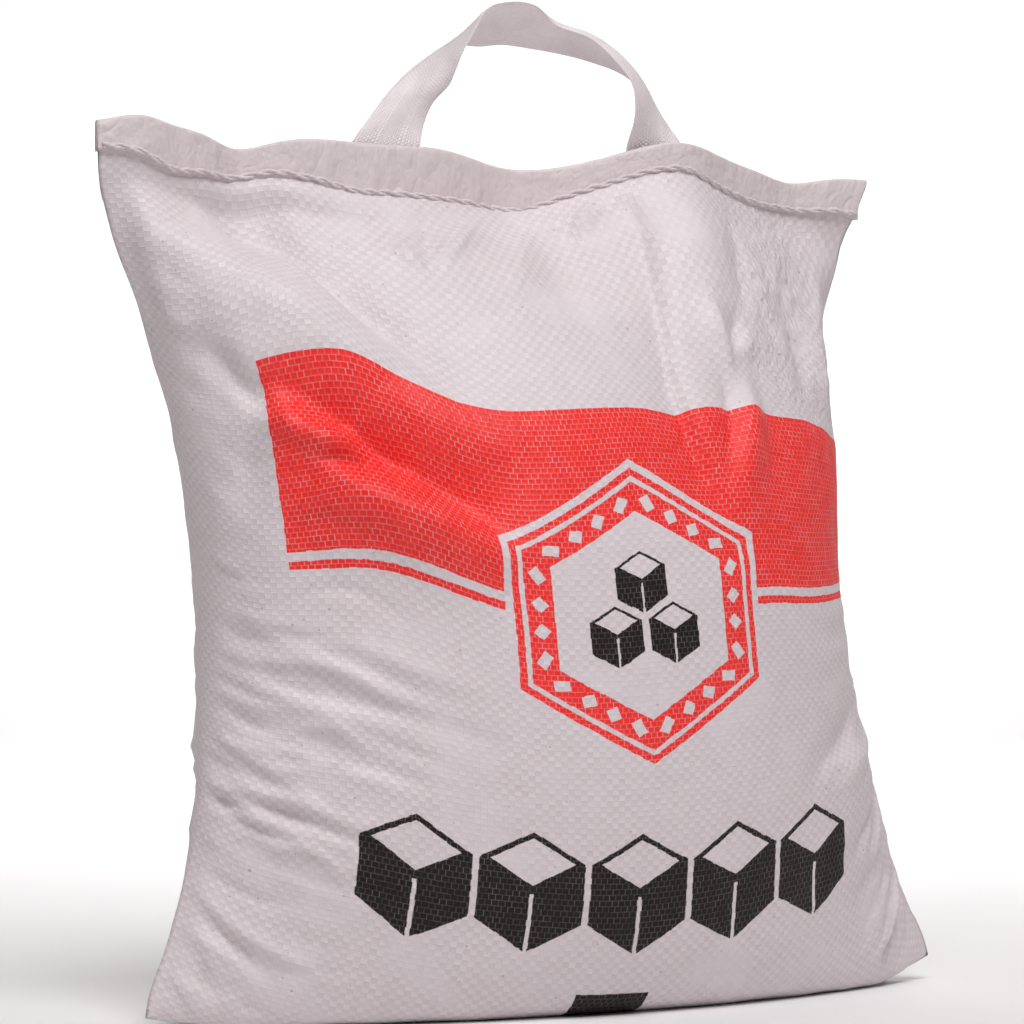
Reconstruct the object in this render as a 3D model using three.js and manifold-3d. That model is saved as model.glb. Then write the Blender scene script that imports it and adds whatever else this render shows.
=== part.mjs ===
// A small woven sugar sack that stands on its base: the filled body, the folded and
// stitched hems at its top and bottom, and a webbing handle sewn into the top hem.
// Millimetres, +Z up, the printed front faces -Y.
import * as THREE from 'three';
import { mergeVertices } from 'three/addons/utils/BufferGeometryUtils.js';
import Module from 'manifold-3d';

const wasm = await Module();
wasm.setup();

// ---- driving dimensions ----
const HEM_TOP = 295;             // floor to the top edge of the sack, before its waves
const HEM_HEIGHT = 13;           // folded band above the stitching
const HEM_THICKNESS = 2.6;
const HEM_HALF_WIDTH = 153.6;
const LEAN_BACK = 28;            // the top edge stands behind the base
const LEAN_SIDE = -7;            // and a little to its left
const EAR_LIFTS = { left: 4, right: 9 };   // the bottom corners curl off the floor
const EAR_START = 118;           // distance from the middle where they start to curl
const EAR_FADE = 60;             // height over which the curl dies out
const GAP = 0.3;                 // air between pieces that touch

const EDGE_THICKNESS = 2;        // two layers of cloth along the side edges

const CORD_WIDTH = 2.6;          // stitching cord along the foot of the band
const CORD_DEPTH = 1.6;

const BASE_HEM_LENGTH = 208;     // the bottom hem, folded flat under the base
const BASE_HEM_WIDTH = 13;
const BASE_HEM_THICKNESS = 1.2;

const STRAP_WIDTH = 28;          // handle webbing
const STRAP_THICKNESS = 1.6;
const STRAP_TUCK = 9;            // how far its ends run down behind the band
const STRAP_AIR = 0.8;           // room between them and the band
const STRAP_EASE = 12;           // height above the band where it leaves the band's waves

const SIDE_STEPS = 40;           // facets across each face of the body
const RING_STEPS = 34;           // levels between the base and the hem
const STRAP_STEPS = 50;
const STRAP_FACETS = 4;          // facets across the webbing
const CORD_SIDES = 6;

// Level sections of the filled body. Its middle moves back and aside as it rises; the
// outline of a section is halfDepth * (1 - x^2) ^ fullness on either side of that middle.
const SECTIONS = [
  { z: 0, halfWidth: 153.8, halfDepth: 34, lean: 0, fullness: 1.05 },
  { z: 5, halfWidth: 153, halfDepth: 41, lean: 0.01, fullness: 1.02 },
  { z: 25, halfWidth: 146, halfDepth: 50, lean: 0.04, fullness: 0.85 },
  { z: 60, halfWidth: 135, halfDepth: 59.5, lean: 0.15, fullness: 0.64 },
  { z: 100, halfWidth: 126.2, halfDepth: 68, lean: 0.42, fullness: 0.53 },
  { z: 140, halfWidth: 122.2, halfDepth: 71, lean: 0.6, fullness: 0.5 },
  { z: 190, halfWidth: 126.8, halfDepth: 66, lean: 0.76, fullness: 0.52 },
  { z: 230, halfWidth: 134.6, halfDepth: 53, lean: 1.1, fullness: 0.62 },
  { z: 255, halfWidth: 143.8, halfDepth: 36, lean: 1.2, fullness: 0.76 },
  { z: 272, halfWidth: 149.6, halfDepth: 15, lean: 1.14, fullness: 0.92 },
];

// Waves of the top edge: where they are along it, how far they lift it, how wide they spread.
const HEM_WAVES = [
  { x: -146, lift: 3.0, spread: 12 },
  { x: -107, lift: -4.6, spread: 13 },
  { x: 2, lift: -4.8, spread: 24 },
  { x: 60, lift: 6.8, spread: 24 },
  { x: 116, lift: -2.6, spread: 14 },
];
const WAVE_TURN = THREE.MathUtils.degToRad(35);   // the leaning face lifts and moves forward
const WAVE_FADE = 70;                             // depth over which the waves die out below

// The handle's middle line, with the turn of the webbing about it in degrees: at 0 it lies
// in the plane of the hem, at 90 its face is level.
const STRAP_PATH = [
  { x: -53, z: HEM_TOP, turn: 4 },
  { x: -44, z: 305, turn: 42 },
  { x: -34, z: 316, turn: 60 },
  { x: -24, z: 328.5, turn: 80 },
  { x: -15, z: 338, turn: 106 },
  { x: -3, z: 341.5, turn: 116 },
  { x: 14, z: 338.5, turn: 112 },
  { x: 31, z: 333, turn: 98 },
  { x: 48, z: 325.5, turn: 76 },
  { x: 56.5, z: 314.5, turn: 44 },
  { x: 58.5, z: HEM_TOP + 5, turn: 26 },
];

// ---- materials ----
const cloth = new THREE.MeshStandardMaterial({ color: 0xe5dbdf, roughness: 0.55, metalness: 0 });
const hemCloth = new THREE.MeshStandardMaterial({ color: 0xc9bcbc, roughness: 0.5, metalness: 0 });
const webbing = new THREE.MeshStandardMaterial({ color: 0xe4dadd, roughness: 0.65, metalness: 0 });
const thread = new THREE.MeshStandardMaterial({ color: 0xdcd1d3, roughness: 0.8, metalness: 0 });

// ---- shape rules ----

// A smooth curve through (key, value) pairs that never overshoots them.
function monotone(keys, values) {
  const last = keys.length - 1;
  const slope = keys.slice(1).map((k, i) => (values[i + 1] - values[i]) / (k - keys[i]));
  const tangent = keys.map((_, i) => {
    if (i === 0) return slope[0];
    if (i === last) return slope[last - 1];
    const [a, b] = [slope[i - 1], slope[i]];
    return a * b <= 0 ? 0 : (2 * a * b) / (a + b);
  });
  return (key) => {
    const x = THREE.MathUtils.clamp(key, keys[0], keys[last]);
    let i = 0;
    while (i < last - 1 && x > keys[i + 1]) i += 1;
    const step = keys[i + 1] - keys[i];
    const t = (x - keys[i]) / step;
    const [t2, t3] = [t * t, t * t * t];
    return (2 * t3 - 3 * t2 + 1) * values[i] + (t3 - 2 * t2 + t) * step * tangent[i]
      + (3 * t2 - 2 * t3) * values[i + 1] + (t3 - t2) * step * tangent[i + 1];
  };
}

const BODY_TOP = HEM_TOP - HEM_HEIGHT;
const RIM = {
  z: BODY_TOP, halfWidth: HEM_HALF_WIDTH, halfDepth: HEM_THICKNESS / 2, lean: 1, fullness: 1,
};
const LEVELS = [...SECTIONS, RIM];
const along = (name) => monotone(LEVELS.map((s) => s.z), LEVELS.map((s) => s[name]));
const halfWidthAt = along('halfWidth');
const halfDepthAt = along('halfDepth');
const leanAt = along('lean');
const fullnessAt = along('fullness');

// Positions across the sack from -1 to 1, closer together towards its sides.
const ACROSS = Array.from({ length: SIDE_STEPS + 1 }, (_, i) => {
  const even = (2 * i) / SIDE_STEPS - 1;
  return 0.5 * (even + Math.sin((Math.PI * even) / 2));
});

// The hem's waves lift a point and push it forward; they fade out below the stitching.
function wave(point) {
  const hump = (sum, w) => sum + w.lift * Math.exp(-(((point.x - w.x) / w.spread) ** 2));
  const fade = THREE.MathUtils.smoothstep(point.z, BODY_TOP - WAVE_FADE, BODY_TOP);
  const lift = HEM_WAVES.reduce(hump, 0) * fade;
  point.y -= lift / Math.tan(WAVE_TURN);
  point.z += lift;
  return point;
}

// A point of the body: across runs -1 to 1, side is -1 on the front face and 1 on the back.
function bodyPoint(across, side, z) {
  const x = LEAN_SIDE * leanAt(z) + halfWidthAt(z) * across;
  const bulge = halfDepthAt(z) * Math.max(0, 1 - across * across) ** fullnessAt(z);
  const depth = Math.max(bulge, EDGE_THICKNESS / 2);
  const outer = Math.max(0, (Math.abs(x) - EAR_START) / (SECTIONS[0].halfWidth - EAR_START));
  const curl = (x < 0 ? EAR_LIFTS.left : EAR_LIFTS.right) * outer ** 2 * (1 - THREE.MathUtils.smoothstep(z, 0, EAR_FADE));
  return wave(new THREE.Vector3(x, LEAN_BACK * leanAt(z) + side * depth, z + curl));
}

// A point of the band or of what lies on it: back is measured from the band's middle.
function bandPoint(x, back, z) {
  return wave(new THREE.Vector3(x, LEAN_BACK + back, z));
}

// ---- mesh helpers ----

// A closed body skinned over rings that all have the same even number of points. The end
// caps are ladders that join the points of the ring's two halves.
function skin(name, material, rings) {
  const count = rings[0].length;
  const triangles = [];
  for (let r = 0; r < rings.length - 1; r += 1) {
    for (let i = 0; i < count; i += 1) {
      const [a, b] = [r * count + i, r * count + ((i + 1) % count)];
      triangles.push(a, b, b + count, a, b + count, a + count);
    }
  }
  const cap = (base, flip) => {
    for (let i = 0; i < count / 2 - 1; i += 1) {
      const [a, b, c, d] = [base + i, base + i + 1, base + count - 2 - i, base + count - 1 - i];
      triangles.push(...(flip ? [a, c, b, a, d, c] : [a, b, c, a, c, d]));
    }
  };
  cap(0, true);
  cap((rings.length - 1) * count, false);
  const geometry = new THREE.BufferGeometry();
  const positions = rings.flat().flatMap((p) => [p.x, p.y, p.z]);
  geometry.setAttribute('position', new THREE.Float32BufferAttribute(positions, 3));
  geometry.setIndex(triangles);
  const mesh = new THREE.Mesh(geometry, material);
  mesh.name = name;
  return mesh;
}

// One mesh minus another, by a boolean cut.
function cut(mesh, tool) {
  const solid = (source) => {
    const bare = source.geometry.clone().applyMatrix4(source.matrixWorld);
    bare.deleteAttribute('normal');
    bare.deleteAttribute('uv');
    const merged = mergeVertices(bare, 1e-4);
    return new wasm.Manifold(new wasm.Mesh({
      numProp: 3,
      vertProperties: new Float32Array(merged.attributes.position.array),
      triVerts: new Uint32Array(merged.index.array),
    }));
  };
  const result = solid(mesh).subtract(solid(tool)).getMesh();
  const geometry = new THREE.BufferGeometry();
  geometry.setAttribute('position', new THREE.BufferAttribute(result.vertProperties, 3));
  geometry.setIndex(new THREE.BufferAttribute(result.triVerts, 1));
  mesh.geometry = geometry;
  return mesh;
}

// ---- sub-parts ----

// The filled body: level rings from the flat base to the stitching, closer together where
// the base turns up and where the faces close on each other.
function makeBody() {
  const rings = [];
  for (let r = 0; r <= RING_STEPS; r += 1) {
    const even = r / RING_STEPS;
    const z = BODY_TOP * (even - 0.09 * Math.sin(2 * Math.PI * even));
    const front = ACROSS.map((across) => bodyPoint(across, -1, z));
    const back = ACROSS.map((across) => bodyPoint(across, 1, z)).reverse();
    rings.push([...front, ...back]);
  }
  return skin('sack', cloth, rings);
}

// The flat folded band above the stitching.
function makeTopHem() {
  const half = HEM_THICKNESS / 2;
  const rings = ACROSS.map((across) => {
    const x = LEAN_SIDE + HEM_HALF_WIDTH * across;
    return [
      bandPoint(x, -half, BODY_TOP + GAP), bandPoint(x, half, BODY_TOP + GAP),
      bandPoint(x, half, HEM_TOP), bandPoint(x, -half, HEM_TOP),
    ];
  });
  return skin('top_hem', hemCloth, rings);
}

// The raised row of stitching along the foot of the band, on one of its faces.
function makeStitching(name, side) {
  const clear = HEM_THICKNESS / 2 + GAP + CORD_DEPTH / 2;
  const rings = ACROSS.map((across) => {
    const x = LEAN_SIDE + (HEM_HALF_WIDTH - 1) * across;
    return Array.from({ length: CORD_SIDES }, (_, i) => {
      const angle = (2 * Math.PI * (i + 0.5)) / CORD_SIDES;
      const back = side * clear + (CORD_DEPTH / 2) * Math.sin(angle);
      const z = BODY_TOP + GAP + (CORD_WIDTH / 2) * (1 - Math.cos(angle));
      return bandPoint(x, back, z);
    });
  });
  return skin(name, thread, rings);
}

// The webbing handle: its ends run down behind the band, and between them it turns about
// its own middle line so that it lies level at the top of the loop.
function makeHandle() {
  const ends = [STRAP_PATH[0], STRAP_PATH[STRAP_PATH.length - 1]];
  const foot = (end) => new THREE.Vector3(end.x, 0, HEM_TOP - STRAP_TUCK);
  const points = STRAP_PATH.map((p) => new THREE.Vector3(p.x, 0, p.z));
  const path = new THREE.CatmullRomCurve3([foot(ends[0]), ...points, foot(ends[1])], false, 'centripetal');
  const keys = [0, ...STRAP_PATH.map((_, i) => i + 1), STRAP_PATH.length + 1];
  const turnAt = monotone(keys, [0, ...STRAP_PATH.map((p) => p.turn), 0]);
  const middle = HEM_THICKNESS / 2 + STRAP_AIR + STRAP_THICKNESS / 2;

  // A point of the webbing's middle sheet: t along the handle, u across it.
  const sheet = (t, u) => {
    const centre = path.getPoint(t);
    const run = path.getTangent(t);
    const turn = THREE.MathUtils.degToRad(turnAt(t * (STRAP_PATH.length + 1)));
    const across = new THREE.Vector3(run.z * Math.cos(turn), -Math.sin(turn), -run.x * Math.cos(turn));
    const free = centre.clone().addScaledVector(across, u * STRAP_WIDTH);
    free.y += LEAN_BACK + middle;
    const end = t < 0.5 ? ends[0] : ends[1];
    const side = t < 0.5 ? 1 : -1;
    const tucked = bandPoint(end.x + side * u * STRAP_WIDTH, middle, centre.z);
    const leave = THREE.MathUtils.smoothstep(centre.z, HEM_TOP, HEM_TOP + STRAP_EASE);
    return tucked.lerp(free, leave);
  };

  const rings = [];
  for (let s = 0; s <= STRAP_STEPS; s += 1) {
    const t = s / STRAP_STEPS;
    const [front, back] = [[], []];
    for (let f = 0; f <= STRAP_FACETS; f += 1) {
      const u = f / STRAP_FACETS - 0.5;
      const step = 0.004;
      const [t0, t1] = [Math.max(0, t - step), Math.min(1, t + step)];
      const alongRun = sheet(t1, u).sub(sheet(t0, u));
      const alongWidth = sheet(t, Math.min(0.5, u + 0.1)).sub(sheet(t, Math.max(-0.5, u - 0.1)));
      const normal = alongWidth.cross(alongRun).normalize().multiplyScalar(STRAP_THICKNESS / 2);
      front.push(sheet(t, u).add(normal));
      back.push(sheet(t, u).sub(normal));
    }
    rings.push([...front, ...back.reverse()]);
  }
  return skin('handle', webbing, rings);
}

// The bottom hem: a folded strip that lies flat under the base, level with it.
function makeBaseHem() {
  const box = new THREE.BoxGeometry(BASE_HEM_LENGTH, BASE_HEM_WIDTH, BASE_HEM_THICKNESS);
  const mesh = new THREE.Mesh(box, hemCloth);
  mesh.name = 'bottom_hem';
  mesh.position.z = BASE_HEM_THICKNESS / 2;
  return mesh;
}

// The room that the bottom hem takes out of the base.
function makeBaseRecess() {
  const room = (size) => size + 2 * GAP;
  const box = new THREE.BoxGeometry(
    room(BASE_HEM_LENGTH), room(BASE_HEM_WIDTH), 2 * room(BASE_HEM_THICKNESS),
  );
  return new THREE.Mesh(box);
}

const group = new THREE.Group();
group.add(
  cut(makeBody(), makeBaseRecess()),
  makeTopHem(),
  makeStitching('front_stitch', -1),
  makeStitching('back_stitch', 1),
  makeHandle(),
  makeBaseHem(),
);

// The origin is on the floor, under the middle of the whole.
const middle = new THREE.Box3().setFromObject(group).getCenter(new THREE.Vector3());
group.position.set(-middle.x, -middle.y, 0);

export default group;
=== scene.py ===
"""The looks of a small woven sack of sugar: printed cloth, hems, stitching and a webbing handle."""
import logging
import math
from dataclasses import dataclass
from enum import Enum
from typing import Callable, Sequence

import bmesh
import bpy
import numpy as np
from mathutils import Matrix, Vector


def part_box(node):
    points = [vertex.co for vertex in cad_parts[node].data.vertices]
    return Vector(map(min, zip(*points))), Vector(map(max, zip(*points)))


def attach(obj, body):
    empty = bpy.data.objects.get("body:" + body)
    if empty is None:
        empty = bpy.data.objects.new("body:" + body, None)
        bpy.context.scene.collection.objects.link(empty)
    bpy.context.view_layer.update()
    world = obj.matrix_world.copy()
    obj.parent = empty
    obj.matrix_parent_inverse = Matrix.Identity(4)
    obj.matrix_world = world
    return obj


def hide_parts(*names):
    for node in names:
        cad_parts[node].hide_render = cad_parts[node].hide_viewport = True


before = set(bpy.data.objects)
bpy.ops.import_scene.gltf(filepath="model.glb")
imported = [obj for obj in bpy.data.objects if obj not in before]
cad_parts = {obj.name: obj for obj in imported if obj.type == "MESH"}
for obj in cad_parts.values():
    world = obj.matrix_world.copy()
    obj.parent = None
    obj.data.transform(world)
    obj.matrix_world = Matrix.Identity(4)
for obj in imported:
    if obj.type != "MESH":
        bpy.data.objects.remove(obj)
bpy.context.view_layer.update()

LOG = logging.getLogger("sugar_sack")
MM = 0.001                      # the sizes below are in millimetres, the meshes in metres
WELD = 1e-6                     # metres within which points are one
TINY = 1e-9                     # keeps a division from one by nothing
CLOTH_MAP = "cloth"             # the UV map of every soft piece: millimetres across and up the flat cloth
Colour = tuple[float, float, float, float]
Pair = tuple[float, float]      # such as where something begins and where it ends
Place = tuple[float, float, float]


# ---------------------------------------------------------------------------
# Curves
# ---------------------------------------------------------------------------

def cubic(t: np.ndarray, step: np.ndarray, ends: Sequence, slopes: Sequence) -> np.ndarray:
    """Runs a cubic curve between two points.

    Args:
        t: Share of the way, from 0 to 1.
        step: Length of the stretch.
        ends: Value at its start and at its end.
        slopes: Slope at its start and at its end.

    Returns:
        The curve's values.
    """
    t2, t3 = t * t, t * t * t
    return ((2 * t3 - 3 * t2 + 1) * ends[0] + (t3 - 2 * t2 + t) * step * slopes[0]
            + (3 * t2 - 2 * t3) * ends[1] + (t3 - t2) * step * slopes[1])


def monotone(keys: Sequence[float], values: Sequence[float]) -> Callable[[np.ndarray], np.ndarray]:
    """Makes a smooth curve through points that never overshoots them.

    Args:
        keys: Rising positions of the points.
        values: Their values.

    Returns:
        A function that gives the curve's values at an array of positions.
    """
    x = np.asarray(keys, float)
    y = np.asarray(values, float)
    slope = np.diff(y) / np.diff(x)
    before, after = slope[:-1], slope[1:]
    total = np.where(np.abs(before + after) < TINY, 1.0, before + after)
    inner = np.where(before * after > 0, 2 * before * after / total, 0.0)
    tangent = np.concatenate([slope[:1], inner, slope[-1:]])

    def curve(at: np.ndarray) -> np.ndarray:
        """Gives the curve's values.

        Args:
            at: Positions.

        Returns:
            The values there.
        """
        p = np.clip(np.asarray(at, float), x[0], x[-1])
        i = np.clip(np.searchsorted(x, p, side="left") - 1, 0, len(x) - 2)
        step = x[i + 1] - x[i]
        return cubic((p - x[i]) / step, step, (y[i], y[i + 1]), (tangent[i], tangent[i + 1]))

    return curve


def smoothstep(value: np.ndarray | float, low: float, high: float) -> np.ndarray:
    """Rises smoothly from 0 at low to 1 at high."""
    t = np.clip((np.asarray(value, float) - low) / (high - low), 0, 1)
    return t * t * (3 - 2 * t)


def smooth_line(points: Sequence[Sequence[float]], spacing: float) -> np.ndarray:
    """Draws a smooth line through points, as a Catmull-Rom curve.

    Args:
        points: The points, each with any number of coordinates; the first two give the way along the line.
        spacing: Rough distance between the points of the result.

    Returns:
        Array of points along the line.
    """
    p = np.asarray(points, float)
    chord = np.linalg.norm(np.diff(p[:, :2], axis=0), axis=1)
    knots = np.concatenate([[0], np.cumsum(np.maximum(chord, TINY))])
    tangent = np.gradient(p, knots, axis=0)
    fewest = 4
    at = np.linspace(0, knots[-1], max(fewest, int(knots[-1] / spacing) + 1))
    i = np.clip(np.searchsorted(knots, at, side="right") - 1, 0, len(p) - 2)
    step = (knots[i + 1] - knots[i])[:, None]
    t = ((at - knots[i]) / step[:, 0])[:, None]
    return cubic(t, step, (p[i], p[i + 1]), (tangent[i], tangent[i + 1]))


def spread_evenly(lines: np.ndarray, count: int) -> np.ndarray:
    """Places points at even distances along each of several lines.

    Args:
        lines: Array of shape (lines, points, 3).
        count: Number of steps along each line.

    Returns:
        Array of shape (lines, count + 1, 3).
    """
    steps = np.linalg.norm(np.diff(lines, axis=1), axis=2)
    length = np.concatenate([np.zeros((len(lines), 1)), np.cumsum(steps, axis=1)], axis=1)
    length /= length[:, -1:]
    even = np.linspace(0, 1, count + 1)
    out = np.empty((len(lines), count + 1, 3))
    for row, line in enumerate(lines):
        for axis in range(3):
            out[row, :, axis] = np.interp(even, length[row], line[:, axis])
    return out


def rounded(wave: np.ndarray, power: float) -> np.ndarray:
    """Bends a sine or cosine: a lower power gives a squarer section."""
    return np.sign(wave) * np.abs(wave) ** power


def direction(azimuth: float, elevation: float) -> np.ndarray:
    """Points outwards from the sack: azimuth 0 is its front, and both are in degrees."""
    a, e = math.radians(azimuth), math.radians(elevation)
    return np.array([math.sin(a) * math.cos(e), -math.cos(a) * math.cos(e), math.sin(e)])


# ---------------------------------------------------------------------------
# Mesh helpers
# ---------------------------------------------------------------------------

def read(collection: bpy.types.bpy_prop_collection, name: str, width: int, kind: type = float) -> np.ndarray:
    """Reads one property of every item of a collection.

    Args:
        collection: Such as a mesh's vertices.
        name: The property.
        width: How many numbers it holds for each item.
        kind: Their type.

    Returns:
        Array with a row for each item.
    """
    flat = np.empty(len(collection) * width, dtype=kind)
    collection.foreach_get(name, flat)
    return flat.reshape(-1, width)


def move_to(mesh: bpy.types.Mesh, points: np.ndarray) -> None:
    """Moves a mesh's vertices to new places, in metres."""
    mesh.vertices.foreach_set("co", points.ravel())
    mesh.update()


def shown(name: str, mesh: bpy.types.Mesh) -> bpy.types.Object:
    """Puts a mesh in the scene, smooth shaded.

    Args:
        name: Name of the new object.
        mesh: Its mesh, with its place in it.

    Returns:
        The new object.
    """
    mesh.shade_smooth()
    piece = bpy.data.objects.new(name, mesh)
    bpy.context.scene.collection.objects.link(piece)
    return piece


def laid_out(name: str, points: np.ndarray, flat: np.ndarray, caps: bool = False) -> bpy.types.Object:
    """Lays a grid of cloth over given places and welds whatever edges meet.

    Args:
        name: Name of the new object.
        points: Places in metres, shape (rows, columns, 3).
        flat: The same points on the flat cloth, shape (rows, columns, 2), for the UV map.
        caps: Whether open ends are filled.

    Returns:
        The new object, smooth shaded, with its faces outwards.
    """
    rows, columns = points.shape[0] - 1, points.shape[1] - 1
    bm = bmesh.new()
    bmesh.ops.create_grid(bm, x_segments=columns, y_segments=rows, size=1)
    mesh = bpy.data.meshes.new(name)
    bm.to_mesh(mesh)
    bm.free()
    at = np.rint((read(mesh.vertices, "co", 3)[:, :2] + 1) / 2 * [columns, rows]).astype(int)
    corner = read(mesh.loops, "vertex_index", 1, np.int32)[:, 0]
    layer = mesh.uv_layers.new(name=CLOTH_MAP)
    layer.uv.foreach_set("vector", flat[at[corner, 1], at[corner, 0]].ravel())
    mesh.vertices.foreach_set("co", points[at[:, 1], at[:, 0]].ravel())
    bm = bmesh.new()
    bm.from_mesh(mesh)
    bmesh.ops.remove_doubles(bm, verts=bm.verts, dist=WELD)
    if caps:
        bmesh.ops.holes_fill(bm, edges=[e for e in bm.edges if e.is_boundary])
    bmesh.ops.recalc_face_normals(bm, faces=bm.faces)
    bm.to_mesh(mesh)
    bm.free()
    return shown(name, mesh)


def subdivided(piece: bpy.types.Object, levels: int) -> None:
    """Subdivides a piece smoothly and keeps the result as its mesh.

    Args:
        piece: The piece, whose mesh is replaced.
        levels: How many times each face is cut in four.
    """
    finer = piece.modifiers.new("finer", "SUBSURF")
    finer.levels = finer.render_levels = levels
    finer.uv_smooth = "NONE"
    bpy.context.view_layer.update()
    graph = bpy.context.evaluated_depsgraph_get()
    mesh = bpy.data.meshes.new_from_object(piece.evaluated_get(graph))
    piece.modifiers.clear()
    old = piece.data
    piece.data = mesh
    bpy.data.meshes.remove(old)
    mesh.name = piece.name
    mesh.shade_smooth()


def joined(name: str, parts: Sequence[bpy.types.Object]) -> bpy.types.Object:
    """Joins several objects into one.

    Args:
        name: Name of the result.
        parts: The objects; all but the first are removed.

    Returns:
        The first object, which holds all the meshes.
    """
    bm = bmesh.new()
    for part in parts:
        bm.from_mesh(part.data)
    bm.to_mesh(parts[0].data)
    bm.free()
    for part in parts[1:]:
        bpy.data.objects.remove(part)
    parts[0].name = parts[0].data.name = name
    parts[0].data.shade_smooth()
    return parts[0]


def flat_places(mesh: bpy.types.Mesh) -> np.ndarray:
    """Finds where every vertex lies on the flat cloth.

    Args:
        mesh: A mesh with the cloth's UV map.

    Returns:
        Array with a row for each vertex: millimetres across and up.
    """
    corner = read(mesh.loops, "vertex_index", 1, np.int32)[:, 0]
    uv = read(mesh.uv_layers[CLOTH_MAP].uv, "vector", 2)
    places = np.zeros((len(mesh.vertices), 2))
    places[corner] = uv
    return places


# ---------------------------------------------------------------------------
# The shape that every piece is laid out on
# ---------------------------------------------------------------------------

@dataclass(frozen=True)
class Level:
    """A level section of the filled sack: its outline is half_depth * (1 - across^2) ^ fullness."""

    z: float
    half_width: float
    half_depth: float
    lean: float                  # share of the whole lean, back and to the side
    fullness: float


@dataclass(frozen=True)
class HemWave:
    """One wave of the top edge: its place along it, its lift and its spread."""

    x: float
    lift: float
    spread: float


class Side(Enum):
    """The two faces of the flat sack."""

    FRONT = -1
    BACK = 1


@dataclass
class SackShape:
    """The form of the standing sack, in millimetres from the middle of its base."""

    hem_top: float = 295.0
    hem_height: float = 13.0
    hem_thickness: float = 2.6
    hem_half_width: float = 153.6
    hem_rise: float = 5.0        # how much the hem narrows at its left end
    hem_rise_reach: float = 34.0
    right_trim: float = 4.2      # how far the hem's right end draws in at its foot
    right_trim_across: Pair = (104.0, 142.0)
    right_trim_depth: float = 38.0
    lean_back: float = 28.0
    lean_side: float = -7.0
    ear_lifts: Pair = (4.0, 9.0)     # of the base's left and right corners
    ear_start: float = 118.0
    ear_fade: float = 60.0
    edge_roundness: float = 3.0
    edge_fade: float = 40.0      # how far below the mouth the side edges turn sharp
    drop_fade: float = 60.0      # how far below the mouth the stitching's wander is felt
    wave_turn: float = math.radians(35)
    wave_fade: float = 70.0
    flat_width: float = 312.0
    flat_height: float = 357.0
    tuck: float = 9.0            # how far the cloth runs up inside the hem band
    base_steps: int = 13         # steps of the fine grid from the bottom seam to the base's outline
    fine_steps: int = 160        # steps of the fine grid across, and up from the base
    levels: tuple[Level, ...] = (
        Level(0, 153.8, 34, 0, 1.05),
        Level(5, 153, 41, 0.01, 1.02),
        Level(25, 146, 50, 0.04, 0.85),
        Level(60, 135, 59.5, 0.15, 0.64),
        Level(100, 126.2, 68, 0.42, 0.53),
        Level(140, 122.2, 71, 0.6, 0.5),
        Level(190, 126.8, 66, 0.76, 0.52),
        Level(230, 134.6, 53, 1.1, 0.62),
        Level(255, 143.8, 36, 1.2, 0.76),
        Level(272, 149.6, 15, 1.14, 0.92),
        Level(282, 153.2, 0.5, 1, 1),
    )
    foot_drops: tuple[Pair, ...] = (     # places along the hem, and how much lower the stitching hangs there
        (-156, 1.0), (-130, 2.8), (-111, -0.8), (-94, -3.0), (-76, 1.5), (-55, 4.6), (-32, 4.8), (-4, 3.0),
        (22, -0.4), (46, -3.0), (64, -3.0), (84, -1.0), (102, -0.6), (120, -2.4), (138, -1.2), (156, 1.6),
    )
    waves: tuple[HemWave, ...] = (
        HemWave(-146, 3.0, 12),
        HemWave(-107, -4.6, 13),
        HemWave(2, -4.8, 24),
        HemWave(60, 6.8, 24),
        HemWave(116, -2.6, 14),
    )

    def __post_init__(self) -> None:
        """Finds where the frame holds this shape's origin, and makes the section curves."""
        low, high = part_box("bottom_hem")
        self.origin = np.array([(low[0] + high[0]) / 2, (low[1] + high[1]) / 2, 0.0]) / MM
        self.base_seam = (np.array(low) / MM, np.array(high) / MM)
        self.body_top = self.hem_top - self.hem_height
        self.girth = 2 * self.flat_width
        heights = [level.z for level in self.levels]
        self.half_width = monotone(heights, [level.half_width for level in self.levels])
        self.half_depth = monotone(heights, [level.half_depth for level in self.levels])
        self.lean = monotone(heights, [level.lean for level in self.levels])
        self.fullness = monotone(heights, [level.fullness for level in self.levels])
        self.foot_drop = monotone(*zip(*self.foot_drops))

    def from_middle(self, across: np.ndarray) -> np.ndarray:
        """Tells how far places on the flat cloth are from a face's middle, 0, to a side edge, 1."""
        half = self.flat_width / 2
        return np.abs(((across + half) % (2 * half)) / half - 1)

    def wave(self, points: np.ndarray) -> np.ndarray:
        """Lifts points and pushes them forward by the hem's waves, which fade out below it.

        Args:
            points: Places on an even sack.

        Returns:
            Their places on the wavy one.
        """
        x = points[..., 0]
        lift = sum(w.lift * np.exp(-(((x - w.x) / w.spread) ** 2)) for w in self.waves)
        lift = lift * smoothstep(points[..., 2], self.body_top - self.wave_fade, self.body_top)
        out = points.copy()
        out[..., 1] -= lift / math.tan(self.wave_turn)
        out[..., 2] += lift
        return out

    def band(self, x: np.ndarray, back: np.ndarray | float, z: np.ndarray | float) -> np.ndarray:
        """Places points on the hem band: along it, behind its middle and above the floor."""
        x, back, z = np.broadcast_arrays(np.asarray(x, float), back, z)
        return self.wave(np.stack([x - self.trim(x, z), self.lean_back + back, z], axis=-1))

    def trim(self, x: np.ndarray, z: np.ndarray) -> np.ndarray:
        """Works out how far points at the right end of the hem draw in, below its top edge.

        Args:
            x: Places along the hem.
            z: Heights above the floor.

        Returns:
            Millimetres to the left.
        """
        depth = self.hem_top - z
        drawn = smoothstep(depth, 0, self.hem_height)
        drawn = drawn * (1 - smoothstep(depth, self.hem_height, self.right_trim_depth))
        return self.right_trim * drawn * smoothstep(x, *self.right_trim_across)

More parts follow.
